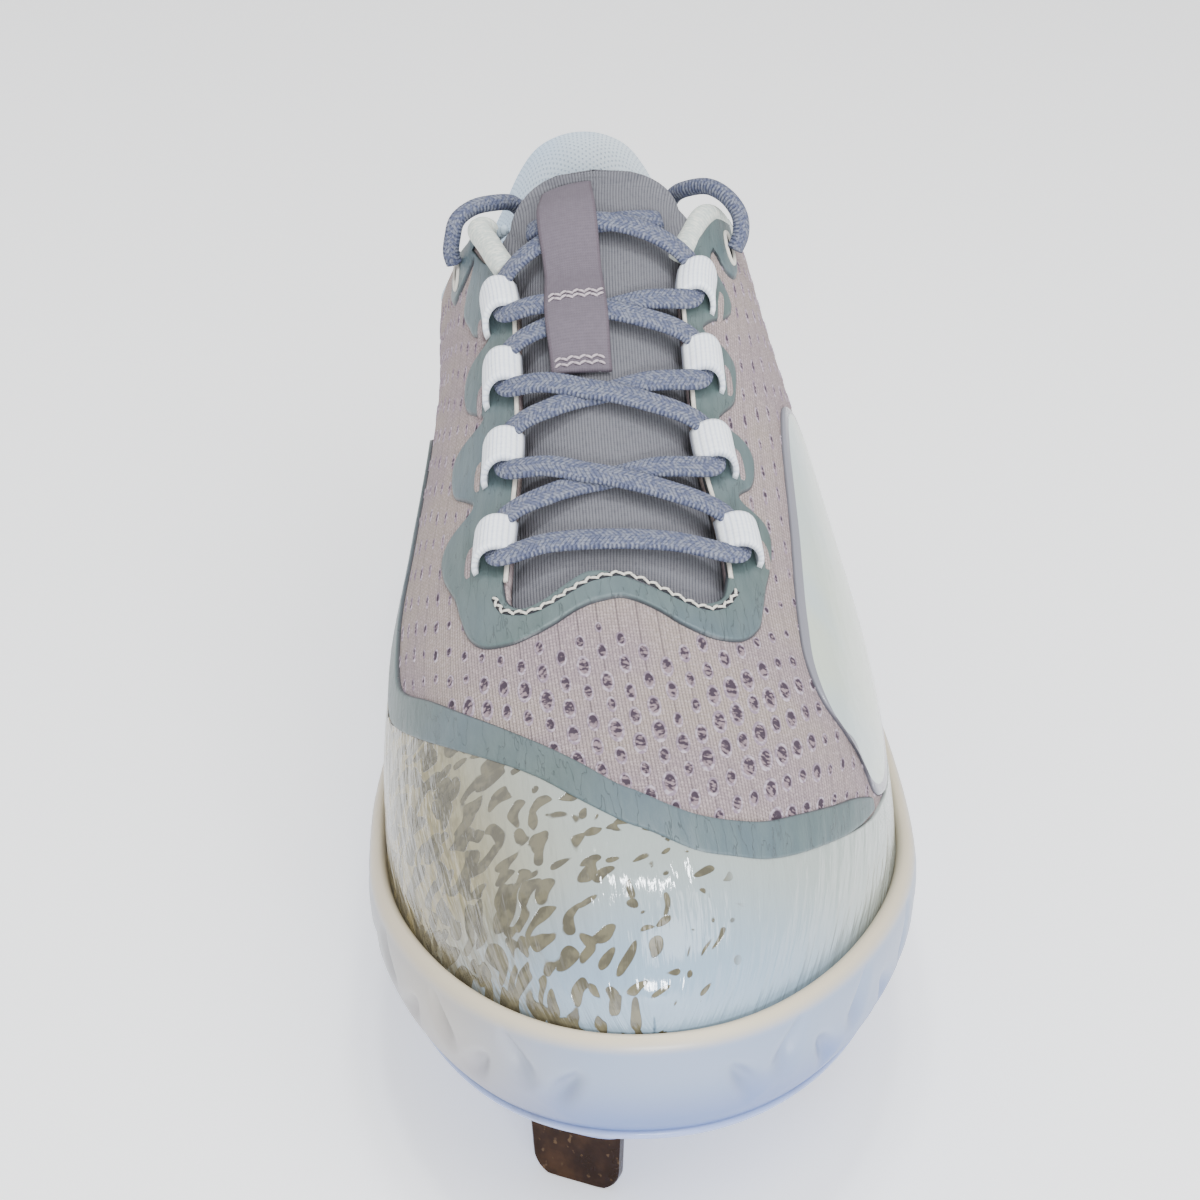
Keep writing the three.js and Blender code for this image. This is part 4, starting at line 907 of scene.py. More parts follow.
def layered(name, count, levels, dents=()):
    """A closed form from levels that run round the shoe, with caps under and over it."""
    at, side = round_shoe(count)
    rings = np.array([level(at, side) for level in levels])
    for dent in dents:
        rings = dent(rings, at, side)
    number, size = rings.shape[:2]
    faces = ring_faces(number, size)
    half = size // 2
    for first in (0, (number - 1) * size):
        for k in range(half):
            left, left_next = first + k, first + k + 1
            right, right_next = first + (size - k) % size, first + size - k - 1
            faces.append([left, left_next, right_next, right])
    points = rings.reshape(-1, 3)
    run = run_along(rings[number // 2])
    uv = np.stack([np.broadcast_to(run, (number, size)), rings[..., 2]], -1).reshape(-1, 2)
    level = np.broadcast_to(np.arange(number)[:, None] / OUTER_LEVELS, (number, size))
    return mesh_object(name, points, faces, uv, values={"level": level})


def press_dents(rings, at, side):
    """Presses slanted triangular dents into the outer levels of the cup."""
    out = outline(at, side, 0, 0) - outline(at, side, 3, 0)
    out /= np.maximum(np.linalg.norm(out, axis=-1, keepdims=True), 1e-6)
    for where, rise, turn in DENTS:
        for hand in (-1.0, 1.0):
            z = mix(plate_z(where) + PLATE_THICK, lip_z(where), rise)
            centre = outline(where, hand, 0, z)
            ahead = outline(where + 0.004, hand, 0, z) - outline(max(where - 0.004, 0), hand, 0, z)
            ahead /= np.linalg.norm(ahead)
            offset = rings - centre
            run = offset @ ahead
            rising = offset[..., 2]
            angle = math.radians(turn)
            long_way = run * math.sin(-angle) + rising * math.cos(angle)
            short_way = run * math.cos(angle) + rising * math.sin(angle)
            inwards = np.abs(offset @ np.cross(ahead, [0, 0, 1]))
            near = (np.linalg.norm(offset, axis=-1) < DENT_REACH) & (inwards < 4)
            width = DENT_WIDTH * (1 - np.clip(long_way / 16 + 0.15, -0.25, 0.6))
            shape = np.clip(1 - (long_way / DENT_HALF) ** 2, 0, 1) ** 1.5
            shape = shape * np.exp(-((short_way / width) ** 2))
            rings = rings - (out[None] * (shape * near * DENT_DEPTH)[..., None])
    return rings


def cup_piece():
    def foot(at):
        return plate_z(at) + PLATE_THICK

    def outer(share):
        """Inset and height of the cup's outer side, by a share from its foot to its lip."""
        knots = np.array([0, 0.1, 0.3, 0.62, 0.86, 0.95, 1.0])
        insets = np.array([CUP_UNDERCUT, 3.0, 1.1, 0.0, 0.15, 0.6, LIP_INSET])
        inset = float(curve_through(knots, insets, share))
        return lambda at, side: outline(at, side, inset, mix(foot(at) + 0.3, lip_z(at), share))

    def inside(inset, drop):
        return lambda at, side: outline(at, side, inset, lip_z(at) - drop)

    levels = [outer(share) for share in np.linspace(0, 1, OUTER_LEVELS)]
    levels += [inside(2.1, -0.15), inside(2.7, 0.1), inside(3.3, 1.0), inside(3.9, 3.0)]
    levels.append(lambda at, side: outline(at, side, 4.6, bed_z(at) - 0.5))
    return layered("cup_wall", 330, levels, [press_dents])


def plate_piece():
    def level(inset, rise):
        return lambda at, side: outline(at, side, inset, plate_z(at) + rise)

    steps = [
        (PLATE_INSET + PLATE_CHAMFER, 0), (PLATE_INSET + 2, 0.25), (PLATE_INSET + 0.9, 0.9),
        (PLATE_INSET + 0.1, 1.9), (PLATE_INSET, PLATE_THICK - 0.5), (PLATE_INSET + 0.5, PLATE_THICK),
    ]
    return layered("sole_plate", 160, [level(*step) for step in steps])


def spike_place(index):
    """A spike's centre, its place along the shoe, and the directions along and across its blade."""
    across, at, turn = SPIKES[index]
    angle = math.radians(turn)
    centre = np.array([across * HALF_WIDTH, float(along(at, 0)), 0])
    c, s = math.cos(angle), math.sin(angle)
    return centre, at, np.array([c, s, 0]), np.array([-s, c, 0])


def pod_piece(index):
    centre, at, right, forward = spike_place(index)
    bottom, top = SPIKE_HEIGHT + GAP, float(plate_z(at)) + PLATE_THICK / 2
    rings = []
    steps = [(bottom, -2.4), (bottom + 0.25, -1.8), (bottom + 1, 0), (mix(bottom, top, 0.6), 0.8), (top, 3.0)]
    for z, grow in steps:
        ring = oval_ring(SPIKE_WIDTH + POD_MARGIN + grow, SPIKE_THICK + 2 * POD_MARGIN + grow, 40, 2.6)
        rings.append(centre + ring[:, 0:1] * right + ring[:, 1:2] * forward + np.array([0, 0, z]))
    return tube("pod_" + str(index + 1), np.array(rings))


def spike_piece(index):
    """A flat steel blade with rounded lower corners and slightly broken edges."""
    centre, _, right, forward = spike_place(index)
    half = SPIKE_WIDTH / 2
    corner = np.linspace(0, np.pi / 2, 8)
    radius = SPIKE_ROUND + 1
    x = half - 0.4 - radius + radius * np.sin(corner)
    low_right = np.stack([x, radius - radius * np.cos(corner)], -1)
    low_left = low_right[::-1] * [-1, 1]
    shape = np.concatenate([[[half, SPIKE_HEIGHT]], low_right[::-1], low_left[::-1], [[-half, SPIKE_HEIGHT]]])
    inner = shape * [0.96, 1]
    inner[:, 1] = np.maximum(inner[:, 1], 0.35)
    rings = []
    for depth, form in ((-0.5, inner), (-0.36, shape), (0.36, shape), (0.5, inner)):
        face = centre + form[:, 0:1] * right + form[:, 1:2] * np.array([0, 0, 1.0])
        rings.append(face + forward * SPIKE_THICK * depth)
    return tube("blade_" + str(index + 1), np.array(rings), shade=False)


cup = cup_piece()
plate = plate_piece()
pods = [pod_piece(i) for i in range(len(SPIKES))]
spikes = [spike_piece(i) for i in range(len(SPIKES))]
print("cup", len(cup.data.polygons), "faces")

# %% [markdown]
# Inside the shoe lie the insole, the tongue and the collar's padding.
# The tongue is a padded leaf that is crowned between the edges of the throat.
# The padding starts as a round edge beside the throat and deepens round the heel.

# %% Insole, tongue and lining
TONGUE_START, TONGUE_FREE, TONGUE_BEND, TONGUE_END = 0.285, 0.6, 0.655, 0.685
TONGUE_THICK, TONGUE_PAD, TONGUE_OVERLAP, TONGUE_TOP_HALF = 4.2, 1.8, 5, 22
CROWN_LOW, CROWN_HIGH, TONGUE_DOWN = 2.1, 3.7, -2.9
LINING_THICK, LINING_SLACK, PADDING_ROUND, EDGE_DIAMETER = 4.2, 0.8, 60, 5.2


def insole_piece():
    inset = RIM_COVER + WALL + 0.8

    def level(extra, rise):
        return lambda at, side: outline(at, side, inset + extra, bed_z(at) + rise)

    steps = [(0, 0), (0, 3.6), (0.3, 4.2), (1.0, 4.5), (3, 4.5), (8, 4.3), (16, 4.3)]
    return layered("inner_sole", 120, [level(*step) for step in steps])


def throat_middle(at):
    at = np.maximum(at, THROAT["at"][0])
    return (throat_x(1, at) + throat_x(-1, at)) / 2


def throat_half(at):
    at = np.maximum(at, THROAT["at"][0])
    return (throat_x(1, at) - throat_x(-1, at)) / 2


def freed(at):
    return smooth((at - TONGUE_FREE) / 0.05)


def tongue_half(at):
    end = np.clip((at - TONGUE_BEND) / (TONGUE_END - TONGUE_BEND), 0, 1)
    return mix(throat_half(at) + TONGUE_OVERLAP, TONGUE_TOP_HALF, freed(at)) * (1 - end**4.4) ** (1 / 4.4)


def tongue_off(at, across):
    open_half = throat_half(at) - mix(0.6, 2 * ROLL + 0.9, freed(at))
    inside = np.clip(1 - (across / open_half) ** 2, 0, 1)
    crown = mix(CROWN_LOW, CROWN_HIGH, smooth((at - TONGUE_FREE) / 0.08)) * smooth((at - 0.318) / 0.05)
    lift = smooth((at - 0.65) / 0.03) * -0.7
    return TONGUE_DOWN + crown * inside**0.6 - 0.9 * np.clip(crown - CROWN_LOW, 0, 1) + lift


def tongue_piece():
    body = np.linspace(TONGUE_START, TONGUE_BEND, 110)[:-1]
    tip = TONGUE_BEND + (TONGUE_END - TONGUE_BEND) * np.sin(np.linspace(0, np.pi / 2, 26))
    at = np.concatenate([body, tip])
    share = np.sin(np.linspace(-np.pi / 2, np.pi / 2, 61))
    at, share = np.meshgrid(at, share, indexing="ij")
    across = share * tongue_half(at)
    around = around_across(at, throat_middle(at) + across)
    off = tongue_off(at, across)
    pad = TONGUE_PAD * smooth((at - 0.56) / 0.1)
    rim = 1 - 0.8 * smooth((at - 0.67) / (TONGUE_END - 0.67))
    thick = (TONGUE_THICK + pad) * rim * (1 - 0.6 * share**4)
    rounded = 0.7 * np.clip(np.abs(share) - 0.9, 0, 1) / 0.1
    round_off = rounded - 3.4 * freed(at) * np.abs(share) ** 3
    thick = thick - rounded + round_off
    uv = np.stack([across, (at - 0.5) * LENGTH], -1)
    return leaf("tongue_leaf", skin(at, around, off - round_off), skin(at, around, off - thick), uv)


PADDED = [
    (-1.1, 20), (-1.1, 10), (-1.1, 0.6), (-0.9, -0.7), (0.1, -1.4), (-0.5, -3.2),
    (-2.4, -4.4), (-4.9, -4), (-7.3, -1.2), (-7.6, 4), (-6.3, 12), (-4.2, 20),
]


def lining_piece():
    """The collar's padding as rings along the collar's edge, with a smooth section."""
    below = -WALL - GAP - LINING_SLACK
    inner = below - LINING_THICK
    stations = 0.7 + 0.3 * np.sin(np.linspace(0, np.pi / 2, 130))
    padded = np.array(PADDED, float)
    padded[:3, 0] = below
    padded[8:, 0] = [inner, inner - 0.3, inner + 1, below - 1.1]
    angle = np.radians(110 - 30 * np.arange(12))
    roll = np.stack([ROLL * np.cos(angle) - 0.2, ROLL * np.sin(angle) - ROLL - GAP], -1)
    places, fine = np.arange(-2.0, 15.0), np.linspace(0, 12, 49)[:-1]
    rings = []
    for side in (-1, 1):
        found = []
        for at in stations:
            around = side * around_at_height(at, collar_z(at))
            grown = smooth((at - 0.715) / 0.08)
            start = mix(0.4, 1, smooth((at - 0.705) / 0.04))
            section = mix(roll, padded, grown) * start
            section[:, 0] -= 3.2 * (1 - grown)
            section[:, 1] -= (1 - start) * ROLL
            wrapped = np.concatenate([section[-2:], section, section[:3]])
            off = curve_through(places, wrapped[:, 0], fine)
            down = curve_through(places, wrapped[:, 1], fine)
            found.append(skin(at, beside(at, around, side * down), off))
        found = np.array(found)
        rings.append(found if side < 0 else found[::-1])
    joined = np.concatenate([rings[0], rings[1][1:]])
    turn = np.linspace(0, PADDING_ROUND, joined.shape[1])
    uv = np.stack(np.broadcast_arrays(turn[None, :], run_along(joined[:, 0])[:, None]), -1)
    return tube("collar_padding", joined, uv)


ROLL_LINES = {
    "medial": [
        (-20, 36.4, 112.2), (-20.5, 38.4, 112.9), (-22, 43, 113.7), (-23.6, 50, 114.5), (-25.6, 57.5, 115.2),
    ],
    "lateral": [
        (16.2, 36.4, 113.9), (16.9, 38.6, 114.4), (18.1, 42, 115), (20.2, 48.5, 115.8), (23.4, 56, 116.9),
    ],
}


def roll_piece(side):
    """A round padded edge from the top loop up to the collar's corner, and over it to the rear."""
    at = np.array([0.708, 0.722, 0.742, 0.765])
    around = side * around_at_height(at, collar_z(at))
    rear = skin(at, beside(at, around, -side * (ROLL + GAP)), [-1.4, -2.2, -3, -3.4])
    line = centripetal(np.concatenate([ROLL_LINES[side_name(side)], rear]), 12)
    for _ in range(30):
        line[1:-1] = (line[:-2] + 2 * line[1:-1] + line[2:]) / 4
    right, up = turned_along(line, np.array([0.0, 0.2, 1.0]))
    grow = np.ones(len(line))
    grow[:5] = [0.45, 0.72, 0.88, 0.96, 0.99]
    ring = oval_ring(EDGE_DIAMETER, EDGE_DIAMETER, 28)
    return swept("padded_edge_" + side_name(side), line, right, up, ring, grow)


rolls = [roll_piece(side) for side in (-1, 1)]
insole = insole_piece()
tongue = tongue_piece()
lining = lining_piece()
print("tongue", len(tongue.data.polygons), "faces")

# %% [markdown]
# One flat knitted lace runs through all the loops. Each half starts at the front bar, goes through
# a loop, crosses to the next loop of the other side, and ends under the collar's padded edge.
# The half that comes from the inner side passes over at one crossing and under at the next.

# %% Laces and loops
LOOP_LENGTH, LOOP_ACROSS, LOOP_HEIGHT, LOOP_EDGE, WEBBING = 7.8, 9.0, 4.7, -1.5, 1.0
LOOP_MIDDLE = LOOP_EDGE + LOOP_ACROSS / 2
LACE_WIDTH, LACE_THICK = 5.2, 1.8
STAY_TOP = GAP + 0.7
LACE_OFF = STAY_TOP + GAP + LACE_THICK / 2 + 0.5
LACE_LOW = 0.5
LACE_HIGH = LACE_LOW + LACE_THICK - 0.3
MOUTH = LOOP_LENGTH / 2 + 0.7
MOUTH_INWARDS = 1.2


def from_throat(side, at, distance):
    """Where round the last a place lies that is so far outwards from the throat's edge."""
    return beside(at, throat_around(side, at), side * distance)


def loop_piece(side, row):
    """Webbing that arches over the eyestay, open to the toe and to the heel."""
    middle = LOOP_ROWS[row]
    half = LOOP_LENGTH / 2 / LENGTH
    station = middle + half * np.linspace(-1, 1, 15)
    share = np.linspace(0, 1, 33)

    def arch(height, spread):
        rows = []
        for at in station:
            start = from_throat(side, at, LOOP_EDGE + spread)
            end = beside(at, start, side * (LOOP_ACROSS - 2 * spread))
            lift = np.sin(np.pi * share) ** 0.6 * (height - spread)
            bow = 0.35 * (1 - ((at - middle) / half) ** 2)
            rows.append(skin(at, mix(start, end, share), STAY_TOP + GAP - 0.5 + lift * (1 + 0.06 * bow)))
        return np.array(rows)

    uv = np.stack(np.broadcast_arrays(share[None, :] * 14, (station * LENGTH)[:, None]), -1)
    name = "webbing_" + side_name(side) + "_" + str(row + 1)
    return leaf(name, arch(LOOP_HEIGHT, 0), arch(LOOP_HEIGHT - 0.4, WEBBING), uv)


def mouth(side, row, way):
    """The stop at a loop's front mouth, where way is -1, or at its rear one."""
    at = LOOP_ROWS[row] + way * MOUTH / LENGTH
    inwards = MOUTH_INWARDS * (2 if way > 0 else 1)
    return [at, float(from_throat(side, at, LOOP_MIDDLE - inwards)), LACE_OFF]


def through(side, row):
    """Stops inside a loop, between its front and its rear mouth."""
    stops = []
    for way in (-0.22, 0.12):
        at = LOOP_ROWS[row] + way * LOOP_LENGTH / LENGTH
        stops.append([at, float(from_throat(side, at, LOOP_MIDDLE)), LACE_OFF - 0.1])
    return stops


def between(start, end, off):
    def near(share, height):
        return [mix(start[0], end[0], share), mix(start[1], end[1], share), height]

    rim = 0.27
    return [near(rim, mix(off, LACE_OFF, 0.45)), near(0.5, off), near(1 - rim, mix(off, LACE_OFF, 0.45))]


def tuck(side):
    at = 0.652
    across = side * (throat_half(at) - 2 * ROLL - LACE_WIDTH / 2 - 0.4)
    rest = float(tongue_off(at, across)) + GAP + LACE_THICK / 2
    return [at, float(around_across(at, throat_middle(at) + across)), rest + 0.9]


def half_lace(first):
    """All stops of one half, from the middle of the front bar back to the collar."""
    bar_from, bar_to = mouth(-1, 0, -1), mouth(1, 0, -1)
    share = 0.26 if first < 0 else 0.74
    near = [mix(bar_from[0], bar_to[0], share), mix(bar_from[1], bar_to[1], share), 1.5]
    stops = [near, mouth(first, 0, -1), *through(first, 0), mouth(first, 0, 1)]
    side = first
    for row in range(3):
        start, end = mouth(side, row, 1), mouth(-side, row + 1, -1)
        stops += between(start, end, LACE_HIGH if side > 0 else LACE_LOW)
        stops += [end, *through(-side, row + 1), mouth(-side, row + 1, 1)]
        side = -side
    start, end = mouth(side, 3, 1), tuck(-side)
    at = mix(start[0], end[0], 0.5)
    rise = LACE_THICK - 0.3 if side > 0 else 0
    rest = float(tongue_off(at, 0)) + GAP + LACE_THICK / 2
    return stops + [[at, mix(start[1], end[1], 0.5), rest + 1.1 + rise], end]


def lace_piece():
    """The whole lace in one sweep, narrowed where it is gathered inside a loop."""
    bar_from, bar_to = mouth(-1, 0, -1), mouth(1, 0, -1)
    middle = [mix(bar_from[0], bar_to[0], 0.5), mix(bar_from[1], bar_to[1], 0.5), 1.1]
    stops = np.array(half_lace(-1)[::-1] + [middle] + half_lace(1))
    places = centripetal(stops * [1, 1, 1 / LENGTH], 12)
    line = skin(places[:, 0], places[:, 1], places[:, 2] * LENGTH)
    right, _ = frames_along(line, normal_at(places[:, 0], places[:, 1]))
    for _ in range(6):
        right[1:-1] = (right[:-2] + 2 * right[1:-1] + right[2:]) / 4
    right /= np.linalg.norm(right, axis=1, keepdims=True)
    forward = np.gradient(line, axis=0)
    forward /= np.linalg.norm(forward, axis=1, keepdims=True)
    gathered = np.ones(len(line))
    for side in (-1, 1):
        for row in range(4):
            at = LOOP_ROWS[row]
            centre = skin(at, from_throat(side, at, LOOP_MIDDLE), LACE_OFF)
            far = np.linalg.norm(line - centre, axis=1)
            gathered = np.minimum(gathered, mix(0.62, 1, smooth((far - 2.6) / 4.5)))
    ring = oval_ring(LACE_WIDTH, LACE_THICK, 28, 2.3)
    return swept("flat_lace", line, right, np.cross(right, forward), ring, gathered)


loops = {(side, row): loop_piece(side, row) for side in (-1, 1) for row in range(4)}
lace = lace_piece()

TAB_MIDDLE, TAB_WIDTH, TAB_TOP_WIDTH, TAB_THICK = -6.4, 12, 10.3, 0.9
TAB = table(
    ["at", "off"],
    [0.506, 1.0], [0.522, 1.8], [0.538, 3.7], [0.558, 4.0], [0.575, 2.9], [0.589, 2.1], [0.605, 2.9],
    [0.62, 4.7], [0.642, 5.0], [0.66, 3.2], [0.671, 1.9], [0.679, 1.0], [0.6838, 0.2],
)
TAB_SLANT, TAB_BARS = 0.004, (0.56, 0.5125)


def tab_place(at, share):
    """Where on the last a point of the tab lies."""
    at, share = np.broadcast_arrays(np.asarray(at, float), np.asarray(share, float))
    run = (at - TAB["at"][0]) / (TAB["at"][-1] - TAB["at"][0])
    x = TAB_MIDDLE + share * mix(TAB_WIDTH, TAB_TOP_WIDTH, run)
    sloped = at + TAB_SLANT * (share - 0.5) * smooth((run - 0.5) / 0.5)
    return sloped, around_across(sloped, x), read(TAB, "off", at)


def tab_piece():
    down = np.linspace(TAB["at"][0], TAB["at"][-1], 100)
    at, share = np.meshgrid(down, np.linspace(-0.5, 0.5, 17), indexing="ij")
    place, around, off = tab_place(at, share)
    uv = np.stack([share * TAB_WIDTH, at * LENGTH], -1)
    edge = 0.15 * (np.abs(share) > 0.49)
    return leaf("woven_tab", skin(place, around, off - edge), skin(place, around, off - TAB_THICK + edge), uv)


tab = tab_piece()
print("lace", len(lace.data.polygons), "faces")

# %% [markdown]
# Small things lie on the films: cut-outs that show the knit beside each loop, rimmed slots where
# the lace comes out, and a thin piping along both edges of the throat.

# %% Cut-outs, slots and piping
CUTOUT_WIDTH, CUTOUT_LENGTH, CUTOUT_GAP, PIPING = 2.4, 8.6, 0.7, 0.95


def cutout_piece(side, row):
    """A slip of knit that shows through the film on the outer side of a loop."""
    share = np.linspace(-1, 1, 15)
    at = LOOP_ROWS[row] + (share * CUTOUT_LENGTH / 2 + 0.8) / LENGTH
    start = from_throat(side, at, LOOP_EDGE + LOOP_ACROSS + CUTOUT_GAP)
    end = beside(at, start, side * CUTOUT_WIDTH * (1 - share**4 * 0.6))
    around = mix(start[:, None], end[:, None], np.linspace(0, 1, 5)[None, :])
    name = "cutout_" + side_name(side) + "_" + str(row + 1)
    return overlay_on(name, np.broadcast_to(at[:, None], around.shape), around, FILM + 0.12)


def slot_pieces(side):
    """A white rim, and a dark leaf of painted shade for the opening where a lace end comes out."""
    at, around = SLOTS[side_name(side)]
    angle = np.linspace(0, 2 * np.pi, 49)
    long_way, short_way = SLOT_LENGTH / 2, SLOT_WIDTH / 2

    place = at + (long_way + 0.1) * np.cos(angle) / LENGTH
    round_it = beside(place, around, (short_way + 0.1) * np.sin(angle))
    line = skin(place, round_it, FILM + 0.15)
    right, up = frames_along(line, normal_at(place, round_it))
    rim = swept("slot_rim_" + side_name(side), line, right, up, oval_ring(0.9, 0.8, 12))
    share = np.array([0.02, 0.5, 1.0])[:, None]
    inner = beside(place[None, :], around, share * short_way * np.sin(angle))
    down = at + share * long_way * np.cos(angle) / LENGTH
    # Painted shade: the dark leaf stands for the shaded inside of the slot.
    dark, low = skin(down, inner, FILM + 0.1), skin(down, inner, FILM - 0.3)
    return rim, leaf("slot_dark_" + side_name(side), dark, low, np.zeros((*dark.shape[:2], 2)))


def piping_piece(side):
    """A thin cord along the throat's edge, from the front corner up to the top loop."""
    at = np.linspace(0.338, 0.628, 140)
    around = from_throat(side, at, 0.25)
    line = skin(at, around, FILM + 0.05)
    right, up = frames_along(line, normal_at(at, around))
    return swept("throat_piping_" + side_name(side), line, right, up, oval_ring(PIPING, PIPING * 0.8, 12))


cutouts = [cutout_piece(side, row) for side in (-1, 1) for row in range(4)]
slots = [slot_pieces(side) for side in (-1, 1)]
pipings = [piping_piece(side) for side in (-1, 1)]

# %% [markdown]
# Holes and stitches repeat one small shape. Their places are worked out on the last, and a tree of
# geometry nodes sets the shape at each of them, turned and sized by values that the points keep.

# %% Holes and stitches
HOLE_COLUMN, HOLE_ROW, HOLE_SIDES, RANDOM_SEED = 3.75, 7.7, 14, 4


def set_out_tree():
    """Nodes that copy a shape to each point, then turn the copies into plain mesh."""
    tree = bpy.data.node_groups.new("set out", "GeometryNodeTree")
    face = tree.interface
    face.new_socket("Places", in_out="INPUT", socket_type="NodeSocketGeometry")
    shape = face.new_socket("Shape", in_out="INPUT", socket_type="NodeSocketObject")
    paint = face.new_socket("Finish", in_out="INPUT", socket_type="NodeSocketMaterial")
    face.new_socket("Result", in_out="OUTPUT", socket_type="NodeSocketGeometry")
    first, last = tree.nodes.new("NodeGroupInput"), tree.nodes.new("NodeGroupOutput")
    info = tree.nodes.new("GeometryNodeObjectInfo")
    info.inputs["As Instance"].default_value = True
    kept = {}
    for name in ("turn", "size"):
        kept[name] = tree.nodes.new("GeometryNodeInputNamedAttribute")
        kept[name].data_type = "FLOAT_VECTOR"
        kept[name].inputs["Name"].default_value = name
    spin = tree.nodes.new("FunctionNodeEulerToRotation")
    copies = tree.nodes.new("GeometryNodeInstanceOnPoints")
    plain_mesh = tree.nodes.new("GeometryNodeRealizeInstances")
    painted = tree.nodes.new("GeometryNodeSetMaterial")
    for start, end in (
        (first.outputs["Places"], copies.inputs["Points"]), (first.outputs["Shape"], info.inputs["Object"]),
        (info.outputs["Geometry"], copies.inputs["Instance"]), (kept["turn"].outputs[0], spin.inputs[0]),
        (spin.outputs[0], copies.inputs["Rotation"]), (kept["size"].outputs[0], copies.inputs["Scale"]),
        (copies.outputs[0], plain_mesh.inputs[0]), (plain_mesh.outputs[0], painted.inputs["Geometry"]),
        (first.outputs["Finish"], painted.inputs["Material"]), (painted.outputs[0], last.inputs["Result"]),
    ):
        tree.links.new(start, end)
    return tree, shape.identifier, paint.identifier


SET_OUT = set_out_tree()


def directions(at, around):
    """Sideways, rearwards and outwards at places on the last."""
    out = normal_at(at, around)
    back = skin(at + 0.004, around) - skin(at - 0.004, around)
    back -= out * (back * out).sum(-1, keepdims=True)
    back /= np.linalg.norm(back, axis=-1, keepdims=True)
    return np.cross(back, out), back, out


def set_out(name, shape, points, side, back, out, angle, sizes, material):
    """One plain mesh of the shape at all the points."""
    mesh = bpy.data.meshes.new(name)
    mesh.from_pydata((points * MM).tolist(), [], [])
    turns = []
    for s, b, o, a in zip(side, back, out, angle):
        across, along_it = s * math.cos(a) + b * math.sin(a), b * math.cos(a) - s * math.sin(a)
        turns.append(Matrix((across, along_it, o)).transposed().to_euler())
    for label, values in (("turn", np.array(turns)), ("size", np.asarray(sizes))):
        layer = mesh.attributes.new(label, "FLOAT_VECTOR", "POINT")
        layer.data.foreach_set("vector", values.astype(np.float32).ravel())
    piece = bpy.data.objects.new(name, mesh)
    bpy.context.scene.collection.objects.link(piece)
    tree, shape_input, paint_input = SET_OUT
    modifier = piece.modifiers.new("set out", "NODES")
    modifier.node_group = tree
    modifier[shape_input] = shape
    modifier[paint_input] = material
    apply_modifiers(piece)
    return piece


def hole_shape():
    """A raised oval rim around a flat bottom, one millimetre in half width."""
    angle = 2 * np.pi * np.arange(HOLE_SIDES) / HOLE_SIDES
    profile = ((1.3, -0.05), (1.17, 0.13), (1.0, 0.17), (0.86, 0.08), (0.8, 0.03))
    rings = [np.stack([r * np.cos(angle), r * np.sin(angle), np.full(HOLE_SIDES, z)], -1) for r, z in profile]
    points = np.concatenate([*rings, [[0, 0, 0.02]]])
    faces = ring_faces(len(rings), HOLE_SIDES)
    inner, hub = (len(rings) - 1) * HOLE_SIDES, len(rings) * HOLE_SIDES
    faces += [[inner + k, inner + (k + 1) % HOLE_SIDES, hub] for k in range(HOLE_SIDES)]
    return mesh_object("hole_shape", points, faces, points[:, :2])


def stitch_shape():
    """A short thread, one millimetre in half length."""
    line = np.array([[x, 0, 0.25 * math.cos(x * 1.45)] for x in (-1, -0.85, -0.5, 0, 0.5, 0.85, 1)])
    right = np.tile([0.0, 1.0, 0.0], (7, 1))
    up = np.tile([0.0, 0.0, 1.0], (7, 1))
    grow = np.array([0.3, 0.75, 1, 1, 1, 0.75, 0.3])
    return swept("stitch_shape", line, right, up, oval_ring(0.62, 0.5, 8), grow)


def hole_places():
    """Places and sizes of the knit's holes, in staggered columns that run from toe to heel."""
    found = []
    fine = np.linspace(-1, 1, 801)
    for row in range(-40, 80):
        at = 0.05 + (row * HOLE_ROW / 2) / LENGTH
        if not 0.06 < at < 0.965:
            continue
        run = run_along(skin(at, fine))
        run -= run[len(fine) // 2]
        columns = np.arange(-60, 60) * 2 * HOLE_COLUMN + (row % 2) * HOLE_COLUMN
        columns = columns[(columns > run[0]) & (columns < run[-1])]
        found += [(at, float(around)) for around in np.interp(columns, run, fine)]
    at, around = np.array(found).T
    jitter = np.random.default_rng(RANDOM_SEED)
    at = at + jitter.uniform(-0.6, 0.6, len(at)) / LENGTH
    place = skin(at, around)
    edge = np.where(around < 0, collar_around(-1, at), collar_around(1, at))
    clear = np.abs(around) > np.abs(edge) + 0.05
    wave = curve_through(WAVE["across"], WAVE["at"], place[:, 0] / HALF_WIDTH)
    keep = (place[:, 2] > lip_z(at) + 1.5) & (clear | (at < THROAT_FRONT))
    keep &= (at < 0.27) | clear | (at < wave - 0.045)
    band_top = curve_through(BAND["topAround"][3:], BAND["topAt"][3:], np.clip(around, -0.66, 0.65))
    keep &= (at > band_top - 0.004) & ~((around < -0.68) & (at < 0.62))
    at, around = at[keep], around[keep]
    big = smooth((0.305 - at) / 0.08) * smooth((0.62 - np.abs(around)) / 0.2)
    slit = smooth((np.abs(around) - 0.4) / 0.18)
    slit = np.maximum(slit, smooth((at - 0.33) / 0.06))
    chance = jitter.uniform(0.72, 1.2, len(at))
    width = mix(mix(0.95, 1.75, big), 0.62, slit) * chance
    length = mix(mix(1.9, 4.4, big), 2.8, slit) * chance
    return at, around, np.stack([width / 2 * 1.15, length / 2 * 1.15, np.ones(len(at))], -1)


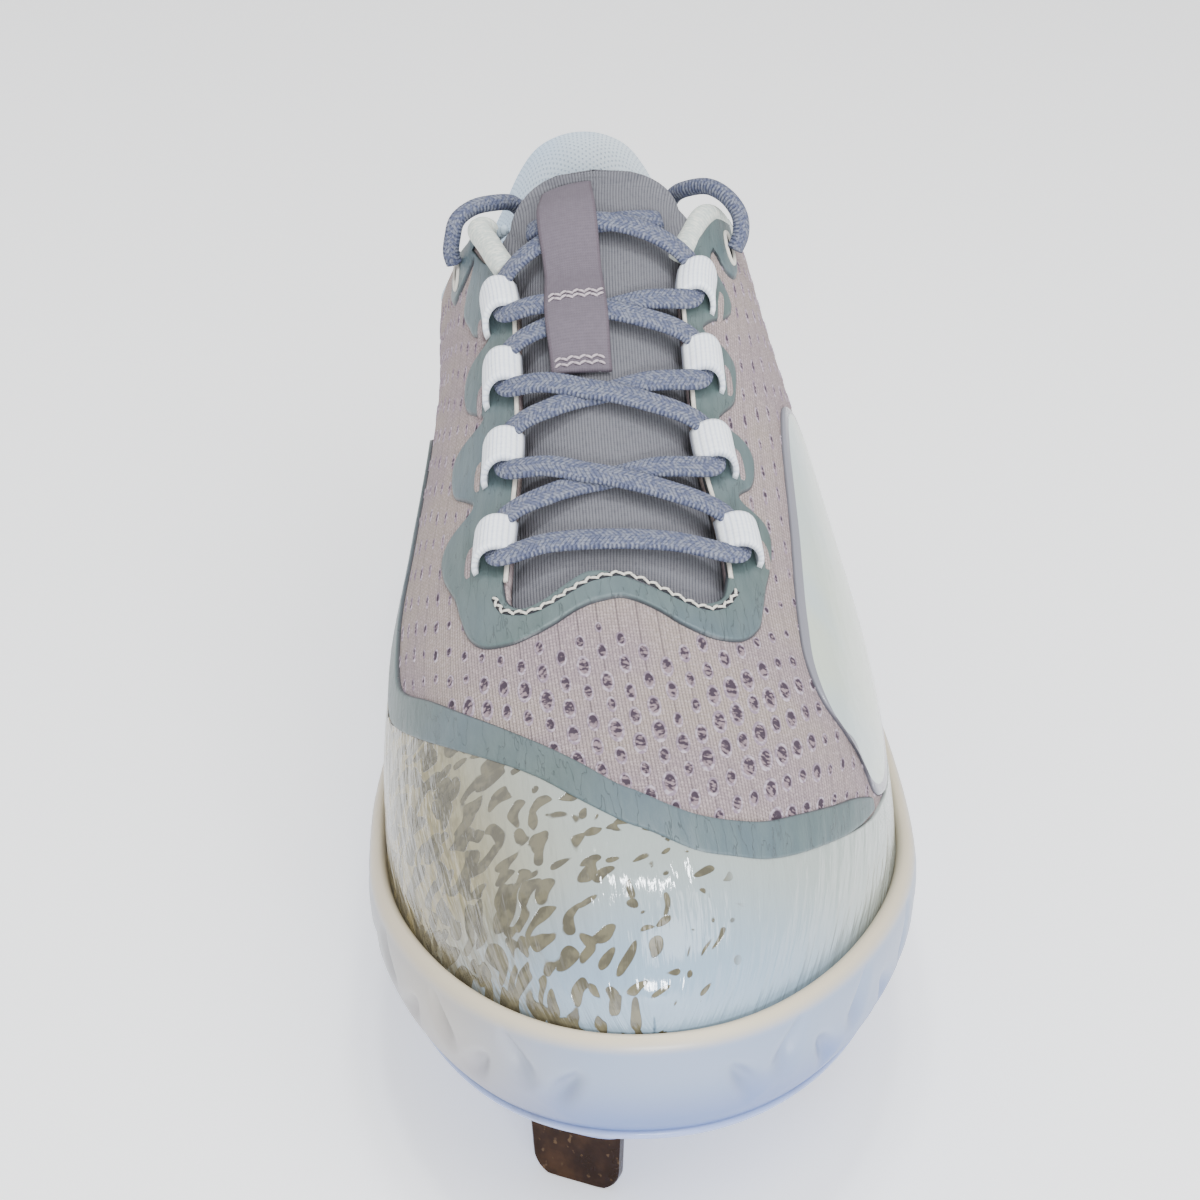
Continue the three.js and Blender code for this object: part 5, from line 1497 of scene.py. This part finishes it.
def stitch_row(points, side, back, out, spacing, length, wander, tilt):
    """Evenly spaced stitches along a line of points, alternately left and right of it."""
    run = run_along(points)
    stops = np.arange(spacing / 2, run[-1], spacing)

    def at_stops(values):
        return np.stack([np.interp(stops, run, values[:, k]) for k in range(3)], -1)

    place, s, b, o = (at_stops(values) for values in (points, side, back, out))
    ahead = at_stops(np.gradient(points, run, axis=0))
    sway = np.where(np.arange(len(stops)) % 2 == 0, 1.0, -1.0)
    across = np.cross(o, ahead)
    across /= np.linalg.norm(across, axis=1, keepdims=True)
    angle = np.arctan2((ahead * b).sum(1), (ahead * s).sum(1)) + sway * tilt
    sizes = np.tile([length / 2, 0.9, 0.9], (len(stops), 1))
    return place + across * (sway * wander)[:, None], s, b, o, angle, sizes


CHAIN = np.array([
    (0.329, -0.262), (0.315, -0.24), (0.306, -0.195), (0.303, -0.15), (0.308, -0.095), (0.317, -0.042),
    (0.325, 0.005), (0.328, 0.045), (0.323, 0.083), (0.316, 0.117), (0.308, 0.157), (0.304, 0.188),
    (0.305, 0.222), (0.313, 0.252), (0.328, 0.28),
])


def chain_line():
    """Places along the chain stitch, a hair in front of the chosen points."""
    line = centripetal(np.column_stack([CHAIN, np.zeros(len(CHAIN))]), 10)
    return line[:, 0] - 0.001, line[:, 1]


def throat_chain(shape, material):
    """The chain stitch that follows the wave at the front of the throat, and a dark strip under it that is
    painted shadow.
    """
    at, around = chain_line()
    points = skin(at, around, FILM + 0.1)
    s, b, o = directions(at, around)
    row = stitch_row(points, s, b, o, 1.3, 1.75, 0.16, 0.42)
    bed = skin(at, around, FILM)
    right, up = frames_along(bed, o)
    # Painted shadow: a flat dark strip laid under the stitches.
    groove = swept("chain_groove", bed, right, up, oval_ring(1.25, 0.2, 10))
    return set_out("throat_stitches", shape, *row, material), groove


def tab_stitches(shape, material):
    """Two stitched bars that hold the tab on the tongue."""
    rows = []
    for middle in TAB_BARS:
        for shift in (-0.0022, 0.0022):
            share = np.linspace(-0.42, 0.42, 20)
            at, around, off = tab_place(middle + shift, share)
            points = skin(at, around, off + 0.05)
            s, b, o = directions(at, around)
            rows.append(stitch_row(points, s, b, o, 1.25, 1.6, 0.12, 0.5))
    joined = [np.concatenate(parts) for parts in zip(*rows)]
    return set_out("tab_stitches", shape, *joined, material)


# %% [markdown]
# Finishes. Most take their pattern from distances over the surface, in millimetres, so knit columns,
# ribs and cells keep their size. Relief goes into the normal, and into the colour as painted shade in the
# hollows.

# %% Finishes


KNIT_COLUMN, KNIT_STITCH = 0.62, 0.85


def plain(name, colour, roughness):
    made = Finish(name, Roughness=roughness)
    made.shader.inputs["Base Color"].default_value = (*colour, 1)
    return made.material


def knit_finish():
    """Chain columns in a melange of mauve and beige yarns, with a groove beside each hole column, and painted
    shade in the stitch hollows and grooves.
    """
    made = Finish("mauve knit", Roughness=0.95)
    across, down = made.surface()
    column = made.stripes(across, KNIT_COLUMN)
    stitch = made.stripes(down + column * 0.4, KNIT_STITCH)
    groove = made.stripes(across + HOLE_COLUMN / 2, HOLE_COLUMN).ramp(0.16, 0.02)
    yarn = made.noise(1500, 1.0)
    cloud = made.noise(40, 2.0)
    deep = column.ramp(0.5, 1.0) * 0.6 + stitch.ramp(0.55, 1.0) * 0.4
    colour = made.mixed(cloud.ramp(0.35, 0.65), tone(150, 134, 138), tone(160, 146, 138))
    colour = made.mixed(yarn.ramp(0.45, 0.68) * 0.55, colour, tone(188, 172, 170))
    # Painted shade: the hollows between stitches and the grooves by the hole columns take a darker colour.
    colour = made.mixed(deep * 0.7 + groove * 0.25, colour, tone(86, 72, 80))
    made.set("Base Color", colour)
    height = deep * -1.0 - groove * 0.7 + yarn * 0.3
    made.set("Normal", made.bump(height, 0.28, 0.8))
    return made.material


def hole_finish():
    """Knit on the rim, and inside painted shade: a dark bottom with a paler, lit crescent towards one side.
    """
    made = Finish("knit hole", Roughness=0.95)
    x, y = made.surface()
    radius = (x * x + y * y).maths("SQRT")
    yarn = made.noise(1100, 1.0)
    # Painted shade and light: the hole's inside is dark, with a paler crescent on one side as if lit.
    inside = made.mixed((yarn + y * -0.12).ramp(0.45, 0.62), tone(58, 46, 58), tone(138, 120, 126))
    rim = made.mixed(yarn.ramp(0.4, 0.65), tone(130, 114, 128), tone(172, 160, 170))
    made.set("Base Color", made.mixed(radius.ramp(0.8, 0.96), inside, rim))
    made.set("Normal", made.bump(yarn, 0.2, 0.6))
    return made.material


def stay_finish():
    """Grey-green film with lengthwise wrinkles, painted paler on their raised folds, fine cracks and a dark
    cut edge.
    """
    made = Finish("fused film", Roughness=0.46, Coat_Weight=0.1, Coat_Roughness=0.3)
    across, down = made.surface()
    folds = made.noise(0.42, 4.0, 0.6, made.joined(across, down * 0.2))
    crack = (made.noise(0.3, 3.0, 0.6, made.joined(across + 40.0, down * 0.16)) - 0.5).maths("ABSOLUTE")
    crack = crack.ramp(0.008, 0.0)
    broad = made.noise(18, 2.0)
    border = made.value("border")
    colour = made.mixed(broad.ramp(0.35, 0.65), tone(74, 90, 87), tone(80, 96, 104))
    # Painted highlight: the raised folds are made paler in the colour.
    colour = made.mixed(folds.ramp(0.35, 0.7) * 0.3, colour, tone(104, 118, 118))
    colour = made.mixed(crack * 0.6, colour, tone(50, 58, 60))
    colour = made.mixed(border.ramp(0.5, 0.1) * 0.85, colour, tone(46, 46, 52))
    made.set("Base Color", colour)
    made.set("Normal", made.bump(folds * 1.0 - crack * 0.2, 0.5, 0.8))
    return made.material


def film_finish():
    """Glossy pale film over grey-olive blots, dense at the inner side and thinner past the middle, with a
    painted blue reflection low at the front.
    """
    made = Finish("toe film", Roughness=0.09, Specular_IOR_Level=1.0)
    across, down = made.surface()
    reach = down + made.value("above")
    sway = made.noise(0.12, 0.0, 0.5, made.joined(across, reach))
    sway_too = made.noise(0.12, 0.0, 0.5, made.joined(across + 60.0, reach + 30.0))
    lean = across - reach * 0.3 + sway * 6.0
    place = made.joined(lean / 4.1, (reach + sway_too * 8.0) / 6.5)
    centred = {"feature": "F1", "voronoi_dimensions": "2D"}
    middle = made.node("ShaderNodeTexVoronoi", centred, {"Vector": place, "Scale": 1.0, "Randomness": 0.8})
    blot = made.noise(1.3, 0.0, 0.5, place)
    inner = across * -1.0 + (down + 130.0) * -0.12
    density = inner.ramp(-14.0, 34.0)
    inside = (blot - 0.5) * 0.8 + (0.45 - middle) * 0.75 - (0.26 - density * 0.27)
    spread = inner.ramp(-18.0, -12.0)
    cell = inside.ramp(-0.012, 0.012) * spread
    rim = inside.maths("ABSOLUTE").ramp(0.035, 0.0) * spread
    grain = made.noise(1.0, 4.0, 0.6, made.joined(across * 0.9, down * 0.2))
    wood = grain.ramp(0.4, 0.58) * inner.ramp(18.0, 34.0)
    ground = made.mixed(inner.ramp(0.0, 40.0), tone(152, 161, 157), tone(136, 124, 82))
    # Painted reflection: the film is coloured blue-grey low at the front of the toe.
    ground = made.mixed(reach.ramp(-102.0, -140.0) * 0.75, ground, tone(122, 150, 178))
    ground = made.mixed(wood * 0.7, ground, tone(104, 97, 70))
    fleck = made.noise(420, 2.0)
    filling = made.mixed(fleck.ramp(0.4, 0.6), tone(74, 70, 54), tone(96, 91, 70))
    colour = made.mixed(cell, ground, filling)
    colour = made.mixed(rim * 0.45, colour, tone(84, 82, 68))
    made.set("Base Color", colour)
    wrinkle = made.noise(0.5, 3.0, 0.5, made.joined(across, down * 0.16))
    height = wrinkle * 1.4 - cell * 0.2 + sway * 0.8
    made.set("Normal", made.bump(height, 0.6, 0.7))
    return made.material


def panel_finish():
    """A plain white film with a grey line just inside its edge."""
    made = Finish("panel film", Roughness=0.25, Coat_Weight=0.5, Coat_Roughness=0.08)
    across, down = made.surface()
    border = made.value("border")
    line = border.ramp(2.3, 2.1)
    broad = made.noise(30, 2.0)
    white = made.mixed(broad.ramp(0.4, 0.7), tone(192, 202, 188), tone(182, 196, 196))
    colour = made.mixed(line, white, tone(122, 122, 132))
    colour = made.mixed(border.ramp(0.35, 0.1) * 0.7, colour, tone(60, 58, 66))
    made.set("Base Color", colour)
    crease = made.noise(0.35, 3.0, 0.5, made.joined(across, down * 0.3))
    made.set("Normal", made.bump(crease - line * 0.2, 0.5, 0.6))
    return made.material


def cup_finish():
    """White moulded foam: cream at the lip, darker and bluer low down and in front as painted shade and
    reflection, warm at the inner toe.
    """
    made = Finish("cup foam", Roughness=0.42, Coat_Weight=0.15, Coat_Roughness=0.25)
    level = made.value("level")
    x, y, _ = made.parts(made.place())
    # Painted shade and reflection: the white foam is coloured darker and bluer low down, and bluer at the
    # front.
    front = y.ramp(-0.05, -0.13)
    low = made.mixed(front, tone(124, 134, 160), tone(88, 110, 160))
    high = made.mixed(front, tone(156, 162, 174), tone(132, 146, 172))
    colour = made.mixed(level.ramp(0.0, 0.7), low, high)
    colour = made.mixed(x.ramp(-0.012, -0.045) * front * 0.7, colour, tone(172, 158, 132))
    colour = made.mixed(level.ramp(0.84, 0.97), colour, tone(196, 184, 160))
    soil = made.noise(160, 4.0, 0.7)
    joint = level.ramp(1.03, 1.1)
    colour = made.mixed(joint * soil.ramp(0.35, 0.6) * 0.6, colour, tone(120, 102, 78))
    smear = made.noise(28, 5.0, 0.75)
    colour = made.mixed(smear.ramp(0.6, 0.8) * 0.16, colour, tone(130, 120, 112))
    made.set("Base Color", colour)
    made.set("Normal", made.bump(made.noise(260, 3.0), 0.12, 0.5))
    return made.material


def plate_finish():
    made = Finish("plate", Roughness=0.35, Coat_Weight=0.2)
    smear = made.noise(60, 5.0, 0.7)
    # Painted shade: the white plate and its pods are coloured the blue of their shade; the smears are dirt.
    made.set("Base Color", made.mixed(smear.ramp(0.5, 0.8) * 0.4, tone(140, 156, 200), tone(112, 108, 112)))
    made.set("Normal", made.bump(smear, 0.2, 0.4))
    return made.material


def spike_finish():
    """Steel whose bronze-brown colour is a painted reflection of brown surroundings, scratched and worn
    paler.
    """
    made = Finish("spike steel", Roughness=0.34, Metallic=0.75)
    patch = made.noise(90, 4.0, 0.65)
    scratch = made.noise(700, 2.0)
    # Painted reflection: the brown tones stand for the brown surroundings that the steel mirrors.
    colour = made.mixed(patch.ramp(0.4, 0.7), tone(40, 25, 17), tone(70, 47, 30))
    made.set("Base Color", made.mixed(scratch.ramp(0.62, 0.72) * 0.5, colour, tone(112, 88, 62)))
    made.set("Roughness", patch.ramp(0.3, 0.7) * 0.25 + 0.25)
    made.set("Normal", made.bump(patch + scratch * 0.3, 0.15, 0.5))
    return made.material


def ribbed_finish(name, colour, dark, width, depth, along_it=False, roughness=0.92):
    """Cloth with fine ribs at one distance, darkened in their hollows as painted shade."""
    made = Finish(name, Roughness=roughness)
    across, down = made.surface()
    rib = made.stripes(down if along_it else across, width)
    cross = made.stripes(across if along_it else down, width * 0.8)
    yarn = made.noise(1100, 1.0)
    deep = rib.ramp(0.35, 1.0) * 0.7 + cross.ramp(0.6, 1.0) * 0.2
    # Painted shade: the rib hollows take the darker colour.
    made.set("Base Color", made.mixed(deep * 0.7 + yarn.ramp(0.5, 0.7) * 0.15, colour, dark))
    made.set("Normal", made.bump(deep * -1.0 + yarn * 0.2, depth, 0.8))
    return made.material


def lining_finish():
    """White spacer mesh: rows of small sunken dots, darkened as painted shade, each second row shifted by
    half.
    """
    made = Finish("lining mesh", Roughness=0.9)
    across, down = made.surface()
    shift = ((down / 1.1).maths("FLOOR") * 0.5).maths("FRACT") * 1.3
    x, y = made.stripes(across + shift, 1.3), made.stripes(down, 1.1)
    dot = (x * x + y * y).maths("SQRT").ramp(0.55, 0.25)
    colour = made.mixed(made.noise(24, 2.0).ramp(0.4, 0.65), tone(206, 218, 226), tone(188, 208, 228))
    # Painted shade: the sunken dots take a darker blue.
    made.set("Base Color", made.mixed(dot * 0.45, colour, tone(120, 146, 178)))
    made.set("Normal", made.bump(dot * -1.0, 0.22, 0.8))
    return made.material


def edge_finish():
    """The cream cloth of the rolled edges, with slanted fine ribs whose hollows are darkened as painted
    shade.
    """
    made = Finish("edge cloth", Roughness=0.9)
    across, down = made.surface()
    rib = made.stripes(down + across * 0.35, 1.1)
    yarn = made.noise(900, 2.0)
    colour = made.mixed(yarn.ramp(0.4, 0.65), tone(196, 204, 198), tone(222, 224, 214))
    # Painted shade: the rib hollows take a darker grey.
    made.set("Base Color", made.mixed(rib.ramp(0.6, 1.0) * 0.3, colour, tone(140, 146, 142)))
    made.set("Normal", made.bump(rib * -0.5 + yarn * 0.5, 0.2, 0.8))
    return made.material


def lace_finish(half):
    """A knitted lace: chevrons along its face and a chain of small stitches at each edge, with painted shade
    in their hollows.
    """
    made = Finish("lace knit " + str(half), Roughness=0.95)
    across, down = made.surface()
    away = across.maths("ABSOLUTE")
    chevron = made.stripes(down + away * 0.75, 0.95)
    column = made.stripes(across, 0.7)
    chain = made.stripes(down, 0.85)
    at_edge = away.ramp(half - 0.75, half - 0.45)
    deep = (chevron.ramp(0.5, 1.0) * 0.6 + column.ramp(0.6, 1.0) * 0.35) * (1.0 - at_edge)
    deep = deep + chain.ramp(0.35, 0.9) * at_edge
    yarn = made.noise(1200, 1.0)
    colour = made.mixed(yarn.ramp(0.4, 0.62), tone(86, 92, 116), tone(120, 124, 138))
    # Painted shade: the hollows of the chevrons and edge stitches take a dark blue.
    made.set("Base Color", made.mixed(deep * 0.62, colour, tone(42, 46, 74)))
    made.set("Normal", made.bump(deep * -1.0 + yarn * 0.3, 0.3, 0.9))
    return made.material


def tab_finish():
    """Woven tape: fine lines across, with painted shade in the weave's hollows and along its edge."""
    made = Finish("tab tape", Roughness=0.85)
    across, down = made.surface()
    weave = made.stripes(down, 0.55) * 0.6 + made.stripes(across, 0.5) * 0.4
    edge = across.maths("ABSOLUTE").ramp(5.2, 5.6)
    yarn = made.noise(900, 2.0)
    colour = made.mixed(yarn.ramp(0.3, 0.75), tone(94, 86, 96), tone(100, 92, 102))
    # Painted shade: the weave hollows and a band along the edge take the darker colour.
    made.set("Base Color", made.mixed(weave.ramp(0.4, 1.0) * 0.35 + edge * 0.3, colour, tone(72, 58, 66)))
    made.set("Normal", made.bump(weave * -1.0, 0.12, 0.7))
    return made.material


KNIT = knit_finish()
HOLE_FINISH = hole_finish()
STAY = stay_finish()
FILM_FINISH = film_finish()
PANEL_FINISH = panel_finish()
CUP_FINISH = cup_finish()
PLATE_FINISH = plate_finish()
SPIKE_FINISH = spike_finish()
TONGUE_FINISH = ribbed_finish("tongue knit", tone(112, 112, 118), tone(56, 56, 66), 0.62, 0.22)
LINING_FINISH = lining_finish()
EDGE_FINISH = edge_finish()
INSOLE_FINISH = ribbed_finish("insole cloth", tone(120, 118, 124), tone(84, 82, 90), 0.8, 0.15, True)
LOOP_FINISH = ribbed_finish("webbing", tone(244, 248, 252), tone(190, 198, 222), 1.2, 0.16, roughness=0.6)
LACE_FINISH = lace_finish(2.6)
CORD_FINISH = lace_finish(1.8)
TAB_FINISH = tab_finish()
AGLET_FINISH = plain("aglet", tone(110, 110, 122), 0.25)
THREAD = plain("cream thread", tone(206, 202, 192), 0.8)
TAB_THREAD = plain("tab thread", tone(178, 166, 172), 0.8)
# Painted shade: a near-black finish for the strip under the chain stitch and for the slot openings.
PAINTED_SHADE = plain("painted shade", tone(34, 34, 40), 0.9)

hole_form, stitch_form = hole_shape(), stitch_shape()
hole_at, hole_around, hole_sizes = hole_places()
hole_side, hole_back, hole_out = directions(hole_at, hole_around)
holes = set_out(
    "knit_holes", hole_form, skin(hole_at, hole_around, 0.0), hole_side, hole_back, hole_out,
    np.zeros(len(hole_at)), hole_sizes, HOLE_FINISH,
)
chain, groove = throat_chain(stitch_form, THREAD)
tab_bars = tab_stitches(stitch_form, TAB_THREAD)
for form in (hole_form, stitch_form):
    bpy.data.objects.remove(form)
print("holes", len(hole_at), "faces", len(holes.data.polygons))

finish_piece(holes, HOLE_FINISH)
finish_piece(chain, THREAD)
finish_piece(groove, PAINTED_SHADE)
finish_piece(tab_bars, TAB_THREAD)
for piece in rolls:
    finish_piece(piece, EDGE_FINISH)
for piece in cutouts:
    finish_piece(piece, KNIT)
for rim, dark in slots:
    finish_piece(rim, THREAD)
    finish_piece(dark, PAINTED_SHADE)
for piece in pipings:
    finish_piece(piece, THREAD)
finish_piece(upper, KNIT, ["upper"])
finish_piece(band, STAY, ["vamp_band"])
finish_piece(eyestay, STAY, ["eyestay"])
finish_piece(toe_film, FILM_FINISH, ["toe_film"])
finish_piece(panel, PANEL_FINISH, ["side_panel"])
finish_piece(cup, CUP_FINISH, ["midsole_cup"])
finish_piece(plate, PLATE_FINISH, ["outsole_plate"])
for piece in pods:
    finish_piece(piece, PLATE_FINISH)
for i, piece in enumerate(spikes):
    finish_piece(piece, SPIKE_FINISH, ["spike_" + str(i + 1)])
finish_piece(tongue, TONGUE_FINISH, ["tongue"])
finish_piece(lining, LINING_FINISH, ["collar_lining"])
finish_piece(insole, INSOLE_FINISH, ["insole"])
for (side, row), piece in loops.items():
    finish_piece(piece, LOOP_FINISH, ["lace_loop_" + side_name(side) + "_" + str(row + 1)])
finish_piece(lace, LACE_FINISH, ["lace_bar"] + ["lace_cross_" + str(row) for row in (1, 2, 3, 4)])
finish_piece(tab, TAB_FINISH, ["tongue_tab"])
for side, (piece, tip, line, length) in lace_ends.items():
    finish_piece(piece, CORD_FINISH, ["lace_end_" + side])
    finish_piece(tip, AGLET_FINISH, ["aglet_" + side])
    tuple(line[0] * MM)
    length * MM
    [tuple(p * MM) for p in line]

# %% [markdown]
# The studio is a pale floor and soft lights: a large one over the toe, a fainter one behind the
# inner side, and small panes that the glossy toe mirrors.

# %% Studio
FLOOR_HALF = 3000
PANES = [(-0.06, 0.0, 1.08), (0.12, 0.02, 1.07)]
PANES += [(-0.08, -1.0, 0.27), (0.08, -1.01, 0.27), (0.23, -0.98, 0.28)]


def soft_light(name, place, aim, size, watts, colour=(1, 1, 1)):
    data = bpy.data.lights.new(name, "AREA")
    data.shape = "RECTANGLE"
    data.size, data.size_y = size
    data.energy = watts
    data.color = colour
    lamp = bpy.data.objects.new(name, data)
    lamp.location = place
    lamp.rotation_euler = (Vector(aim) - Vector(place)).to_track_quat("-Z", "Y").to_euler()
    bpy.context.scene.collection.objects.link(lamp)


def studio():
    world = bpy.data.worlds.new("studio")
    bpy.context.scene.world = world
    world.use_nodes = True
    background = world.node_tree.nodes["Background"]
    background.inputs[0].default_value = (1.0, 1.0, 1.0, 1)
    background.inputs[1].default_value = 0.92
    corners = [[x * FLOOR_HALF, y * FLOOR_HALF, 0] for x, y in ((-1, -1), (1, -1), (1, 1), (-1, 1))]
    floor = mesh_object("floor", corners, [[0, 1, 2, 3]])
    paper = Finish("floor", Roughness=0.8, Emission_Strength=0.4)
    paper.shader.inputs["Base Color"].default_value = (*tone(250, 250, 251), 1)
    paper.shader.inputs["Emission Color"].default_value = (1, 1, 1, 1)
    floor.data.materials.append(paper.material)
    aim = (0.0, -0.1, 0.05)
    soft_light("key", (0.35, -0.5, 0.8), aim, (0.7, 0.7), 6)
    soft_light("side", (-0.7, 0.6, 0.8), aim, (1.4, 1.4), 3)
    for i, place in enumerate(PANES):
        soft_light("pane_" + str(i + 1), place, aim, (0.09, 0.16), 3.2, (0.93, 0.97, 1.0))


studio()
